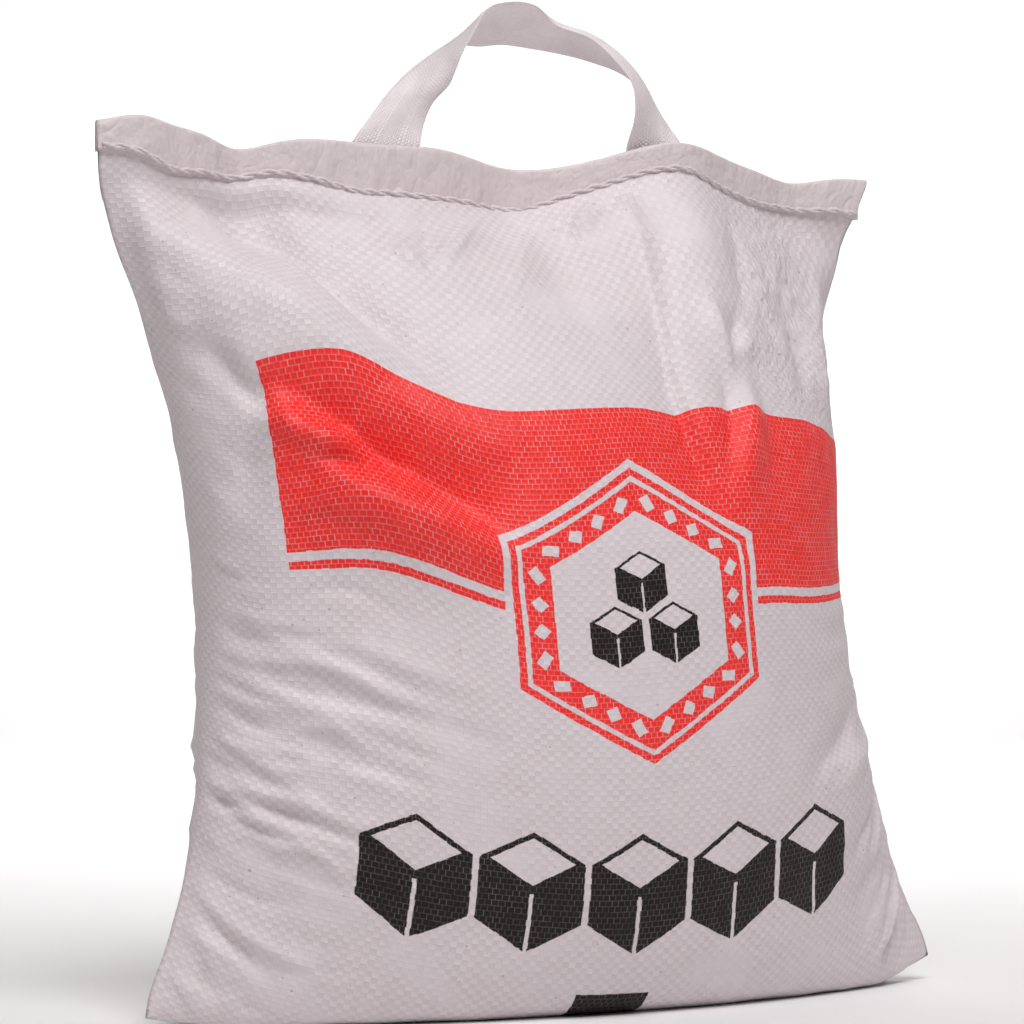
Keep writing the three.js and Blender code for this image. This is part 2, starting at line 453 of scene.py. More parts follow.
    def hem_line(self, x: np.ndarray) -> np.ndarray:
        """Works out how much higher the stitching runs than the foot of an even hem.

        Args:
            x: Places along the hem.

        Returns:
            Millimetres up.
        """
        left_end = -self.hem_half_width
        rise = self.hem_rise * (1 - smoothstep(x, left_end, left_end + self.hem_rise_reach)) ** 1.5
        return rise - self.foot_drop(x)

    def body_point(self, across: np.ndarray, side: Side, z: np.ndarray, spread: np.ndarray) -> np.ndarray:
        """Places points on the filled body.

        Args:
            across: From -1 at the left edge to 1 at the right edge.
            side: The face of the sack.
            z: Level of the point; 0 is the base.
            spread: Below 1 it draws the base's outline in towards the bottom seam.

        Returns:
            Array of points.
        """
        x = self.lean_side * self.lean(z) + self.half_width(z) * across
        edge = np.maximum(0, 1 - across ** 2)
        bulge = self.half_depth(z) * edge ** self.fullness(z)
        rounding = self.edge_roundness * edge ** 0.5 * smoothstep(self.body_top - z, 0, self.edge_fade)
        depth = np.hypot(bulge, rounding) * spread
        outer = np.maximum(0, (np.abs(x) - self.ear_start) / (self.levels[0].half_width - self.ear_start))
        lift = np.where(x < 0, self.ear_lifts[0], self.ear_lifts[1])
        curl = lift * outer ** 2 * (1 - smoothstep(z, 0, self.ear_fade))
        y = self.lean_back * self.lean(z) + side.value * depth
        near_mouth = smoothstep(z, self.body_top - self.drop_fade, self.body_top)
        drop = self.foot_drop(x - self.lean_side) * near_mouth
        return self.wave(np.stack([x - self.trim(x, z), y, z + curl - drop], axis=-1))

    def face(self, side: Side, columns: int, rows: int) -> np.ndarray:
        """Lays the cloth of one face of the sack over its form, with its threads evenly spread.

        Args:
            side: The face of the sack.
            columns: Number of steps across.
            rows: Number of steps from the bottom seam to the hem.

        Returns:
            Array of shape (rows + 1, columns + 1, 3).
        """
        fine, base = self.fine_steps, self.base_steps
        across = np.sin(np.linspace(-math.pi / 2, math.pi / 2, fine + 1))
        spreads = np.concatenate([np.linspace(0, 1, base + 1)[:-1], np.ones(fine)])[:, None]
        heights = np.concatenate([np.zeros(base), np.linspace(0, self.body_top + self.tuck, fine)])[:, None]
        grid = self.body_point(across[None, :], side, heights + 0 * across, spreads)
        rings = spread_evenly(grid, columns)
        return spread_evenly(rings.transpose(1, 0, 2), rows).transpose(1, 0, 2)

    def in_frame(self, points: np.ndarray) -> np.ndarray:
        """Turns millimetres on the sack's own origin into metres in the frame."""
        return (points + self.origin) * MM


# ---------------------------------------------------------------------------
# Shader maths
# ---------------------------------------------------------------------------

class Value:
    """A number that varies over a surface: a node socket that Python's operators work on."""

    def __init__(self, kit: "NodeKit", socket: bpy.types.NodeSocket) -> None:
        self.kit = kit
        self.socket = socket

    def __add__(self, other: "Value | float") -> "Value":
        """self + other."""
        return self.kit.math("ADD", self, other)

    __radd__ = __add__

    def __sub__(self, other: "Value | float") -> "Value":
        """self - other."""
        return self.kit.math("SUBTRACT", self, other)

    def __rsub__(self, other: float) -> "Value":
        """other - self."""
        return self.kit.math("SUBTRACT", other, self)

    def __mul__(self, other: "Value | float") -> "Value":
        """self * other."""
        return self.kit.math("MULTIPLY", self, other)

    __rmul__ = __mul__

    def __truediv__(self, other: "Value | float") -> "Value":
        """self / other."""
        return self.kit.math("DIVIDE", self, other)

    def __pow__(self, other: "Value | float") -> "Value":
        """self ** other."""
        return self.kit.math("POWER", self, other)

    def __abs__(self) -> "Value":
        """abs(self)."""
        return self.kit.math("ABSOLUTE", self)

    def floor(self) -> "Value":
        """The whole number below."""
        return self.kit.math("FLOOR", self)

    def fract(self) -> "Value":
        """What is above the whole number below."""
        return self.kit.math("FRACT", self)

    def ridge(self) -> "Value":
        """0 halfway between two whole numbers and 1 at each."""
        return abs(self.fract() - 0.5) * 2

    def above(self, low: "Value | float", blur: float = 0.25) -> "Value":
        """1 where the value is above low and 0 below it, over a soft edge."""
        return self.kit.math("ADD", (self - low) / blur, 0.5, clamp=True)

    def below(self, high: "Value | float", blur: float = 0.25) -> "Value":
        """1 where the value is below high and 0 above it, over a soft edge."""
        return self.kit.math("SUBTRACT", 0.5, (self - high) / blur, clamp=True)


@dataclass(frozen=True)
class Noise:
    """A kind of soft noise: its scale for each millimetre, its detail and its roughness."""

    scale: float
    detail: float = 2.0
    roughness: float = 0.5


class NodeKit:
    """Builds one procedural material."""

    def __init__(self, name: str) -> None:
        """Starts an empty material with a Principled shader.

        Args:
            name: Name of the material.
        """
        self.material = bpy.data.materials.new(name)
        self.material.use_nodes = True
        self.tree = self.material.node_tree
        self.shader = next(n for n in self.tree.nodes if n.type == "BSDF_PRINCIPLED")

    def node(self, kind: str, settings: dict | None = None, inputs: dict | None = None) -> bpy.types.Node:
        """Adds a node.

        Args:
            kind: The node's type, such as "ShaderNodeTexNoise".
            settings: Properties, which are set first.
            inputs: Values or links of its sockets, by name or index.

        Returns:
            The new node.
        """
        made = self.tree.nodes.new(kind)
        for key, value in (settings or {}).items():
            setattr(made, key, value)
        for key, value in (inputs or {}).items():
            self.feed(made.inputs[key], value)
        return made

    def feed(self, socket: bpy.types.NodeSocket, value: object) -> None:
        """Links a socket or sets it.

        Args:
            socket: The socket that is fed.
            value: A value or another socket to link it to, or a constant.
        """
        if isinstance(value, Value):
            self.tree.links.new(value.socket, socket)
        elif isinstance(value, bpy.types.NodeSocket):
            self.tree.links.new(value, socket)
        else:
            socket.default_value = value

    def dress(self, **inputs: object) -> bpy.types.Material:
        """Finishes the material.

        Args:
            **inputs: What feeds the shader's sockets, named with _ for each space.

        Returns:
            The material.
        """
        for key, value in inputs.items():
            self.feed(self.shader.inputs[key.replace("_", " ")], value)
        return self.material

    def math(self, operation: str, a: object, b: object = None, clamp: bool = False) -> Value:
        """Adds a Math node.

        Args:
            operation: What it works out.
            a: Its first value.
            b: Its second value, where it has one.
            clamp: Whether the result is kept from 0 to 1.

        Returns:
            Its result.
        """
        inputs = {i: v for i, v in enumerate((a, b)) if v is not None}
        made = self.node("ShaderNodeMath", {"operation": operation, "use_clamp": clamp}, inputs)
        return Value(self, made.outputs[0])

    def high(self, *values: object) -> Value:
        """Picks the largest of several values.

        Args:
            *values: Values or numbers.

        Returns:
            The largest.
        """
        first, *rest = values
        for value in rest:
            first = self.math("MAXIMUM", first, value)
        return first

    def noise(self, vector: object, kind: Noise) -> Value:
        """Adds soft noise around 0.5.

        Args:
            vector: Where it is read.
            kind: What it looks like.

        Returns:
            The noise.
        """
        made = self.node("ShaderNodeTexNoise", None, {
            "Vector": vector, "Scale": kind.scale, "Detail": kind.detail, "Roughness": kind.roughness})
        return Value(self, made.outputs["Fac"])

    def chance(self, x: object, y: object) -> Value:
        """A random number from 0 to 1 for every pair of whole numbers."""
        made = self.node("ShaderNodeTexWhiteNoise", {"noise_dimensions": "2D"}, {"Vector": self.vector(x, y)})
        return Value(self, made.outputs["Value"])

    def vector(self, x: object, y: object, z: object = 0.0) -> bpy.types.NodeSocket:
        """Joins three numbers into a vector."""
        return self.node("ShaderNodeCombineXYZ", None, {"X": x, "Y": y, "Z": z}).outputs[0]

    def mix(self, factor: object, a: object, b: object) -> bpy.types.NodeSocket:
        """Mixes two colours.

        Args:
            factor: Share of the second colour.
            a: The first colour.
            b: The second colour.

        Returns:
            The mixed colour.
        """
        made = self.node("ShaderNodeMix", {"data_type": "RGBA"}, {"Factor": factor})
        colours = [s for s in made.inputs if s.type == "RGBA"]
        self.feed(colours[0], a)
        self.feed(colours[1], b)
        return next(s for s in made.outputs if s.type == "RGBA")

    def cloth_place(self) -> tuple[Value, Value]:
        """Finds where a point lies on the flat cloth.

        Returns:
            Millimetres across and up.
        """
        made = self.node("ShaderNodeUVMap", {"uv_map": CLOTH_MAP})
        parts = self.node("ShaderNodeSeparateXYZ", None, {0: made.outputs[0]})
        return Value(self, parts.outputs[0]), Value(self, parts.outputs[1])

    def bump(self, height: object, depth: float, under: object = None) -> bpy.types.NodeSocket:
        """Adds fine relief.

        Args:
            height: Height of 0 to 1.
            depth: Millimetres that a height of 1 stands up.
            under: The normal of coarser relief that this one lies on.

        Returns:
            The normal.
        """
        made = self.node("ShaderNodeBump", None, {"Height": height, "Distance": depth * MM})
        if under is not None:
            self.feed(made.inputs["Normal"], under)
        return made.outputs["Normal"]


def colour(red: int, green: int, blue: int) -> Colour:
    """Turns a screen colour into a shader colour.

    Args:
        red: Its red, from 0 to 255.
        green: Its green.
        blue: Its blue.

    Returns:
        The shader colour, opaque.
    """
    def linear(channel: int) -> float:
        """Takes the screen's curve off one channel."""
        c = channel / 255
        return c / 12.92 if c <= 0.04045 else ((c + 0.055) / 1.055) ** 2.4
    return (linear(red), linear(green), linear(blue), 1.0)


# ---------------------------------------------------------------------------
# Finishes
# ---------------------------------------------------------------------------

@dataclass(frozen=True)
class Print:
    """What is printed on the cloth: a red band with a six-sided badge, and a row of black sugar cubes."""

    band: Pair = (191.0, 262.0)
    band_ends: Pair = (-117.0, 196.0)
    under_line: Pair = (184.5, 187.5)
    badge_middle: Pair = (4.6, 183.4)
    badge_rings: tuple[float, ...] = (50.5, 47.6, 45.0, 43.2, 33.6)     # from the white gap inwards
    badge_marks: int = 24
    mark_size: float = 3.1
    pile: tuple[Pair, ...] = ((0.0, 12.4), (-11.4, -7.4), (11.4, -7.4))
    pile_cube: float = 11.6
    cube_top: float = 0.80       # share of a cube's top that stays bare
    cube_joint: float = 0.035    # half the bare line between its front faces, as a share of its radius
    joint_top: float = -0.04     # where that line begins, as a share of its radius
    row_middle: float = 82.0
    row_cube: float = 21.5
    row_pitch: float = 39.5
    row_count: int = 5
    base_bar: tuple[float, float, float, float] = (-18.0, 9.0, 10.0, 46.0)
    crisp: float = 0.02          # softness of an edge in a pattern that is measured in shares
    crispest: float = 0.01

    @staticmethod
    def six_sided(kit: NodeKit, x: Value, y: Value) -> Value:
        """How far out a point lies, measured square to the sides of a hexagon that stands on a corner."""
        return kit.high(abs(x), abs(x) * 0.5 + abs(y) * math.cos(math.pi / 6))

    def cube(self, kit: NodeKit, x: Value, y: Value, radius: float) -> Value:
        """Draws a cube seen corner on: two dark faces and an outlined top.

        Args:
            kit: The material being built.
            x: Millimetres across from the cube's middle.
            y: Millimetres up from it.
            radius: Distance from its middle to its corners.

        Returns:
            1 where there is ink.
        """
        half = radius * math.cos(math.pi / 6)
        inside = self.six_sided(kit, x, y).below(half)
        top = (abs(x) / half + abs(y - radius / 2) / (radius / 2)).below(self.cube_top, self.crisp)
        joint = abs(x).below(radius * self.cube_joint) * y.below(self.joint_top * radius)
        return inside * (1 - kit.high(top, joint))

    def badge(self, kit: NodeKit, x: Value, y: Value) -> tuple[Value, Value]:
        """Draws the badge's two red rings, the inner one set with small lozenges.

        Args:
            kit: The material being built.
            x: Millimetres across from the badge's middle.
            y: Millimetres up from it.

        Returns:
            Where its red ink lies, and where the band may.
        """
        out = self.six_sided(kit, x, y)
        gap, rim, cut, ring, field = self.badge_rings
        angle = kit.math("ARCTAN2", x, y) * (self.badge_marks / math.tau)
        reach = math.tau / self.badge_marks * (ring + field) / 2
        along = abs((angle + self.badge_marks).fract() - 0.5) * reach
        mark = (along + abs(out - (ring + field) / 2)).below(self.mark_size)
        ink = kit.high(out.below(rim) * out.above(cut), out.below(ring) * out.above(field) * (1 - mark))
        return ink, out.above(gap)

    def red(self, kit: NodeKit, s: Value, t: Value) -> Value:
        """Draws the red ink.

        Args:
            kit: The material being built.
            s: Millimetres across the cloth.
            t: Millimetres up it.

        Returns:
            1 where it lies.
        """
        band = t.above(self.band[0]) * t.below(self.band[1])
        line = t.above(self.under_line[0]) * t.below(self.under_line[1])
        ends = s.above(self.band_ends[0]) * s.below(self.band_ends[1])
        badge, beyond = self.badge(kit, s - self.badge_middle[0], t - self.badge_middle[1])
        return kit.high(kit.high(band, line) * ends * beyond, badge)

    def black(self, kit: NodeKit, s: Value, t: Value) -> Value:
        """Draws the black ink.

        Args:
            kit: The material being built.
            s: Millimetres across the cloth.
            t: Millimetres up it.

        Returns:
            1 where it lies.
        """
        x, y = s - self.badge_middle[0], t - self.badge_middle[1]
        pile = [self.cube(kit, x - dx, y - dy, self.pile_cube) for dx, dy in self.pile]
        places = s / self.row_pitch + self.row_count / 2
        local = (places.fract() - 0.5) * self.row_pitch
        row = self.cube(kit, local, t - self.row_middle, self.row_cube)
        row = row * places.above(0, self.crispest) * places.below(self.row_count, self.crispest)
        left, right, low, high = self.base_bar
        bar = s.above(left) * s.below(right) * t.above(low) * t.below(high)
        return kit.high(*pile, row, bar)


@dataclass(frozen=True)
class Slit:
    """The fine gap beside a printed tape that no ink reached."""

    half_width: float            # in tapes
    blur: float
    strengths: Pair              # of the weakest, and how much stronger the strongest is

    def show(self, place: Value, nearest: Value, luck: Value) -> Value:
        """Draws the slits.

        Args:
            place: Where a point lies, in tapes.
            nearest: The whole number nearest to it.
            luck: A random number for each slit.

        Returns:
            How bare the cloth is.
        """
        weakest, more = self.strengths
        return abs(place - nearest).below(self.half_width, self.blur) * (luck * more + weakest)


@dataclass(frozen=True)
class Weave:
    """The nodes that one point of the cloth's weave is worked out from."""

    s: Value
    t: Value
    row: Value
    over: Value                  # 1 on a tape that runs up, 0 on one that runs across
    cell_luck: Value
    cell_luck_too: Value
    brick_u: Value
    brick: Value
    cloud: Value


@dataclass(frozen=True)
class WovenCloth:
    """Laminated cloth of flat tapes in a plain weave, printed in two inks."""

    cell: Pair = (2.3, 2.0)      # one visible piece of tape, across and up
    sheen: float = 0.32
    pale: Colour = colour(232, 222, 226)
    # the shaded colour serves both as random tone and as painted shade on the lower tapes that run up
    shaded: Colour = colour(214, 202, 206)
    red: Colour = colour(255, 56, 50)
    deep_red: Colour = colour(246, 38, 35)
    black: Colour = colour(20, 9, 10)
    grey_black: Colour = colour(38, 24, 25)
    speck: Colour = colour(120, 104, 104)

    cloud: Noise = Noise(0.02, 3.0)
    patches: Noise = Noise(0.035, 1.0)
    patches_above: Pair = (0.40, 0.12)       # the level and its softness
    flecks: Noise = Noise(0.55, 0.0)
    flecks_above: Pair = (0.845, 0.02)
    fleck_strength: float = 0.4
    layers: Pair = (40.0, 9.0)               # depth in the noise of the patches and of the flecks
    shade: float = 0.24                      # share of the shaded colour, and what adds to it
    # the next two paint shade on the tapes that run up, which lie lower, more in patches; luck and cloud are
    # random tone
    over_painted_shade: float = 0.16
    patch_painted_shade: float = 0.36
    shade_luck: float = 0.24
    shade_cloud: float = 0.5

    relief: float = 0.135
    cushion_power: float = 4.0
    cushion_height: float = 0.8
    cushion_dip: float = 0.25                # how much lower a tape that runs up lies
    inked_power: float = 2.0
    inked_dip: float = 0.8

    ragged: float = 0.35                     # how far the ink's edge steps in and out
    side_slit: Slit = Slit(0.055, 0.11, (0.25, 0.75))
    end_slit: Slit = Slit(0.06, 0.13, (0.2, 0.5))
    slit_patches: Noise = Noise(0.12, 2.0)
    slit_strengths: Pair = (0.1, 1.4)
    mottle_luck: float = 0.7
    mottle_cloud: float = 0.6
    mottle_level: float = 0.2
    black_mottle: float = 0.6
    bare_in_red: float = 0.72
    bare_in_black: float = 0.22

    crinkled_at: Pair = (108.0, 304.0)
    crinkled_reach: Pair = (34.0, 46.0)
    crinkled_blur: float = 1.3
    creases: Noise = Noise(0.26, 2.5, 0.55)
    crease_stretch: Pair = (0.8, 0.7)
    crease_gain: float = 3.0
    crease_depth: float = 0.9
    crease_strengths: Pair = (0.10, 0.62)    # all over, and what the crinkled patch adds

    roughness: float = 0.45                  # and what adds to it or, in the crinkles, takes from it
    rough_cloud: float = 0.2
    rough_red: float = 0.05
    rough_black: float = 0.2
    smooth_crinkled: float = 0.08
    art: Print = Print()

    def weave(self, kit: NodeKit) -> tuple[Weave, Value, Value]:
        """Works out the plain weave, and the tapes that show side by side where ink fills it.

        Args:
            kit: The material being built.

        Returns:
            What the pattern reads, and the relief of bare and of printed cloth.
        """
        s, t = kit.cloth_place()
        u, v = s / self.cell[0], t / self.cell[1]
        column, row = u.floor(), v.floor()
        over = ((column + row) * 0.5).fract() * 2
        up_tape = v.ridge()
        cushion = (1 - u.ridge() ** self.cushion_power) * (1 - up_tape ** self.cushion_power)
        cushion = cushion * (self.cushion_height - over * self.cushion_dip)
        brick_u = u + (row * 0.5).fract()
        inked = 1 - brick_u.ridge() ** self.cushion_power
        inked = inked * (1 - up_tape ** self.inked_power * self.inked_dip)
        made = Weave(s, t, row, over, kit.chance(column, row), kit.chance(row, column), brick_u,
                     brick_u.floor(), kit.noise(kit.vector(s, t), self.cloud))
        return made, cushion, inked

    def bare(self, kit: NodeKit, weave: Weave) -> bpy.types.NodeSocket:
        """Colours the cloth without ink, with painted shade on the lower tapes that run up.

        Args:
            kit: The material being built.
            weave: The weave.

        Returns:
            Its colour.
        """
        s, t = weave.s, weave.t
        patch_layer, fleck_layer = self.layers
        patchy = kit.noise(kit.vector(s, t, patch_layer), self.patches).above(*self.patches_above)
        # painted shade on the lower tapes that run up, stronger in patches, plus random tone from luck and
        # cloud
        pattern = (self.shade + weave.over * (patchy * self.patch_painted_shade + self.over_painted_shade)
                   + (weave.cell_luck - 0.5) * self.shade_luck + (weave.cloud - 0.5) * self.shade_cloud)
        fleck = kit.noise(kit.vector(s, t, fleck_layer), self.flecks).above(*self.flecks_above)
        fabric = kit.mix(pattern, self.pale, self.shaded)
        return kit.mix(fleck * self.fleck_strength, fabric, self.speck)

    def slits(self, kit: NodeKit, weave: Weave) -> Value:
        """Works out where the white cloth shows between printed tapes.

        Args:
            kit: The material being built.
            weave: The weave.

        Returns:
            How bare the cloth is.
        """
        v = weave.t / self.cell[1]
        near_u, near_v = (weave.brick_u + 0.5).floor(), (v + 0.5).floor()
        side = self.side_slit.show(weave.brick_u, near_u, kit.chance(near_u, weave.row + 0.5))
        end = self.end_slit.show(v, near_v, kit.chance(weave.brick + 0.5, near_v))
        patchy = kit.noise(kit.vector(weave.s, weave.t), self.slit_patches)
        weakest, more = self.slit_strengths
        return kit.high(side, end) * (patchy * more + weakest)

    def crinkle(self, kit: NodeKit, weave: Weave) -> tuple[Value, Value]:
        """Works out the patch where the cloth is crumpled, and the finest creases.

        Args:
            kit: The material being built.
            weave: The weave.

        Returns:
            How crumpled the cloth is, and the creases' height.
        """
        dx = (weave.s - self.crinkled_at[0]) / self.crinkled_reach[0]
        dy = (weave.t - self.crinkled_at[1]) / self.crinkled_reach[1]
        crinkled = (dx * dx + dy * dy).below(1.0, self.crinkled_blur)
        across, up = self.crease_stretch
        creases = kit.noise(kit.vector(weave.s * across, weave.t * up), self.creases)
        return crinkled, abs(creases - 0.5) * self.crease_gain

    def build(self) -> bpy.types.Material:
        """Makes the material.

        Returns:
            The material.
        """
        kit = NodeKit("woven_cloth")
        weave, cushion, inked = self.weave(kit)
        ragged_s = weave.s + (weave.cell_luck - 0.5) * self.ragged
        ragged_t = weave.t + (weave.cell_luck_too - 0.5) * self.ragged
        red = self.art.red(kit, ragged_s, ragged_t)
        black = self.art.black(kit, ragged_s, ragged_t)

        slits = self.slits(kit, weave)
        luck = kit.chance(weave.brick, weave.row)
        # random bricks, and places under the cloud, take the deeper ink colour
        ink_mottle = luck * self.mottle_luck + weave.cloud * self.mottle_cloud - self.mottle_level
        red_ink = kit.mix(ink_mottle, self.red, self.deep_red)
        black_ink = kit.mix(ink_mottle * self.black_mottle, self.black, self.grey_black)
        base = kit.mix(red * (1 - slits * self.bare_in_red), self.bare(kit, weave), red_ink)
        base = kit.mix(black * (1 - slits * self.bare_in_black), base, black_ink)

        crinkled, creases = self.crinkle(kit, weave)
        rough = (self.roughness + (weave.cloud - 0.5) * self.rough_cloud + red * self.rough_red
                 + black * self.rough_black - crinkled * self.smooth_crinkled)
        all_over, added = self.crease_strengths
        normal = kit.bump(cushion + kit.high(red, black) * (inked - cushion), self.relief)
        normal = kit.bump(creases * (crinkled * added + all_over), self.crease_depth, normal)
        return kit.dress(Base_Color=base, Roughness=rough, Specular_IOR_Level=self.sheen, Normal=normal)


@dataclass(frozen=True)
class PaperTape:
    """The smooth crinkled tape that binds the sack's mouth and base."""

    pale: Colour = colour(227, 215, 218)
    shaded: Colour = colour(206, 193, 196)
    mottle: Noise = Noise(0.5, 3.0, 0.6)
    mottle_shade: float = 0.5
    cloud: Noise = Noise(0.06)
    cloud_shade: float = 0.6
    shade: float = 0.1
    roughness: Pair = (0.5, 0.2)     # its mean, and what the mottle adds
    fibre: Noise = Noise(1.1)
    fibre_height: float = 0.04
    creases: Noise = Noise(0.09, 3.0, 0.6)
    crease_stretch: float = 0.7
    crease_gain: float = 3.0
    crease_depth: float = 0.9

    def build(self) -> bpy.types.Material:
        """Makes the material.

        Returns:
            The material.
        """
        kit = NodeKit("binding_tape")
        s, t = kit.cloth_place()
        place = kit.vector(s, t)
        mottle = kit.noise(place, self.mottle)
        shade = mottle * self.mottle_shade + kit.noise(place, self.cloud) * self.cloud_shade - self.shade
        creases = kit.noise(kit.vector(s, t * self.crease_stretch), self.creases)
        creases = abs(creases - 0.5) * self.crease_gain
        height = creases + kit.noise(place, self.fibre) * self.fibre_height
        return kit.dress(
            Base_Color=kit.mix(shade, self.pale, self.shaded),
            Roughness=self.roughness[0] + (mottle - 0.5) * self.roughness[1],
            Normal=kit.bump(height, self.crease_depth),
        )


@dataclass(frozen=True)
class SpunThread:
    """Soft thread of twisted fibres."""

    pale: Colour = colour(232, 222, 225)
    shaded: Colour = colour(205, 192, 196)
    ply_turn: Pair = (0.45, 0.55)    # turns of the ply for each millimetre along and around
    # how much paler the ply's crests are than its grooves: painted shade between the strands
    ply_painted_shade: float = 0.5
    ply_height: float = 0.7
    fuzz: Noise = Noise(1.5)
    fuzz_light: float = 0.4
    fuzz_height: float = 0.6
    relief: float = 0.16
    roughness: float = 0.8

    def build(self) -> bpy.types.Material:
        """Makes the material.

        Returns:
            The material.
        """
        kit = NodeKit("spun_thread")
        s, t = kit.cloth_place()
        ply = (s * self.ply_turn[0] + t * self.ply_turn[1]).ridge()
        fuzz = kit.noise(kit.vector(s, t), self.fuzz)
        # crests pale and grooves shaded: painted shade between the strands; the fuzz adds random tone
        return kit.dress(
            Base_Color=kit.mix(ply * self.ply_painted_shade + fuzz * self.fuzz_light, self.shaded, self.pale),
            Roughness=self.roughness,
            Normal=kit.bump(ply * self.ply_height + fuzz * self.fuzz_height, self.relief),
        )


@dataclass(frozen=True)
class Webbing:
    """The close rib of the woven handle."""

    rib: float = 1.15
    rib_power: float = 3.0
    pick: float = 1.35
    pick_power: float = 2.0
    pick_dip: float = 0.8
    pale: Colour = colour(249, 240, 243)
    shaded: Colour = colour(230, 219, 222)
    # painted shade in the dips between ribs and picks, then random tone
    gap_painted_shade: float = 0.35
    luck_shade: float = 0.2
    cloud_shade: float = 0.3
    cloud: Noise = Noise(0.09)
    worn_above: Pair = (0.46, 0.5)   # the level of the cloud above which the rib is crisp, and its softness
    worn_strengths: Pair = (0.3, 0.7)
    relief: float = 0.28
    roughness: float = 0.55

    def build(self) -> bpy.types.Material:
        """Makes the material.

        Returns:
            The material.
        """
        kit = NodeKit("webbing")
        s, t = kit.cloth_place()
        u, v = s / self.rib, t / self.pick
        column, row = u.floor(), v.floor()
        pick = (v + (column * 0.5).fract()).ridge()
        grain = (1 - u.ridge() ** self.rib_power) * (1 - pick ** self.pick_power * self.pick_dip)
        cloud = kit.noise(kit.vector(s, t), self.cloud)
        # painted shade in the dips between ribs and picks, plus random tone from luck and cloud
        shade = ((1 - grain) * self.gap_painted_shade + kit.chance(column, row) * self.luck_shade
                 + cloud * self.cloud_shade)
        least, more = self.worn_strengths
        strength = cloud.above(*self.worn_above) * more + least
        return kit.dress(
            Base_Color=kit.mix(shade, self.pale, self.shaded),
            Roughness=self.roughness,
            Normal=kit.bump(grain * strength, self.relief),
        )


# ---------------------------------------------------------------------------
# Folds
# ---------------------------------------------------------------------------

FOLD_SPACING = 1.5               # millimetres between the points that a fold's line is drawn with
FOLD_SPAN = 3.4                  # how many of its reaches a fold is worked out for


@dataclass(frozen=True)
class Fold:
    """A crease of the cloth.

    Its line runs through points of across, up and height, in millimetres of flat cloth. It
    fades out over a reach on its left and one on its right, as seen going along it.
    """

    line: tuple[Place, ...]
    left: float
    right: float
    sharp: float = 0.3           # 0 is a soft roll, 1 a pinched crease

    def add_to(self, relief: np.ndarray, across: np.ndarray, up: np.ndarray, girth: float) -> None:
        """Adds the fold's height to a relief.

        Args:
            relief: Height of every point, which is changed.
            across: Place of every point across the flat cloth.
            up: Its place up the cloth.
            girth: Distance round the sack, after which across begins again.
        """
        line = smooth_line(self.line, FOLD_SPACING)
        span = FOLD_SPAN * max(self.left, self.right)
        middle = (line[:, 0].min() + line[:, 0].max()) / 2
        turned = (across - middle + girth / 2) % girth - girth / 2 + middle
        near = np.flatnonzero((turned > line[:, 0].min() - span) & (turned < line[:, 0].max() + span)
                              & (up > line[:, 1].min() - span) & (up < line[:, 1].max() + span))
        if not len(near):
            return
        tangent = np.gradient(line, axis=0)
        pace = np.linalg.norm(tangent[:, :2], axis=1)
        ds = turned[near][:, None] - line[None, :, 0]
        dt = up[near][:, None] - line[None, :, 1]
        i = np.argmin(ds * ds + dt * dt, axis=1)
        pick = np.arange(len(near))
        ds, dt = ds[pick, i], dt[pick, i]
        tx, ty = tangent[i, 0] / pace[i], tangent[i, 1] / pace[i]
        along = ds * tx + dt * ty
        aside = tx * dt - ty * ds
        past = np.maximum(0, np.abs(along) - pace[i] / 2)
        height = line[i, 2] + np.clip(along, -pace[i] / 2, pace[i] / 2) * tangent[i, 2] / pace[i]
        reach = np.where(aside > 0, self.left, self.right)
        relief[near] += height * np.exp(-(np.hypot(aside, past) / reach) ** (2 - self.sharp))


@dataclass(frozen=True)
class FoldGroup:
    """The folds of one part of the sack, and how strongly they are pressed in."""

    folds: tuple[Fold, ...]
    strength: float


@dataclass(frozen=True)
class Crumple:
    """A patch of small creases in every direction around a main one."""

    middle: Pair
    reach: Pair
    count: int
    height: float
    lengths: Pair
    widths: Pair
    heading: float               # degrees from across the cloth
    swing: float
    seed: int
    scatter: float = 0.55        # how far the creases spread, as a share of the reach
    weakest: float = 0.3
    bend: float = 0.12           # as a share of their length
    sharp: float = 0.6

    def folds(self) -> list[Fold]:
        """Draws the patch's creases.

        Returns:
            A fold for each.
        """
        draw = np.random.default_rng(self.seed)
        made = []
        for _ in range(self.count):
            x, y = draw.normal(0, self.scatter, 2) * self.reach + self.middle
            heading = math.radians(self.heading + draw.normal(0, self.swing))
            length = draw.uniform(*self.lengths)
            height = self.height * draw.uniform(self.weakest, 1.0) * draw.choice([-1, 1])
            left, right = draw.uniform(*self.widths, 2)
            bend = draw.normal(0, self.bend) * length
            step = np.array([math.cos(heading), math.sin(heading)]) * length / 2
            side = np.array([-math.sin(heading), math.cos(heading)]) * bend
            line = ((x - step[0], y - step[1], 0.0), (x + side[0], y + side[1], height),
                    (x + step[0], y + step[1], 0.0))
            made.append(Fold(line, left, right, self.sharp))
        return made


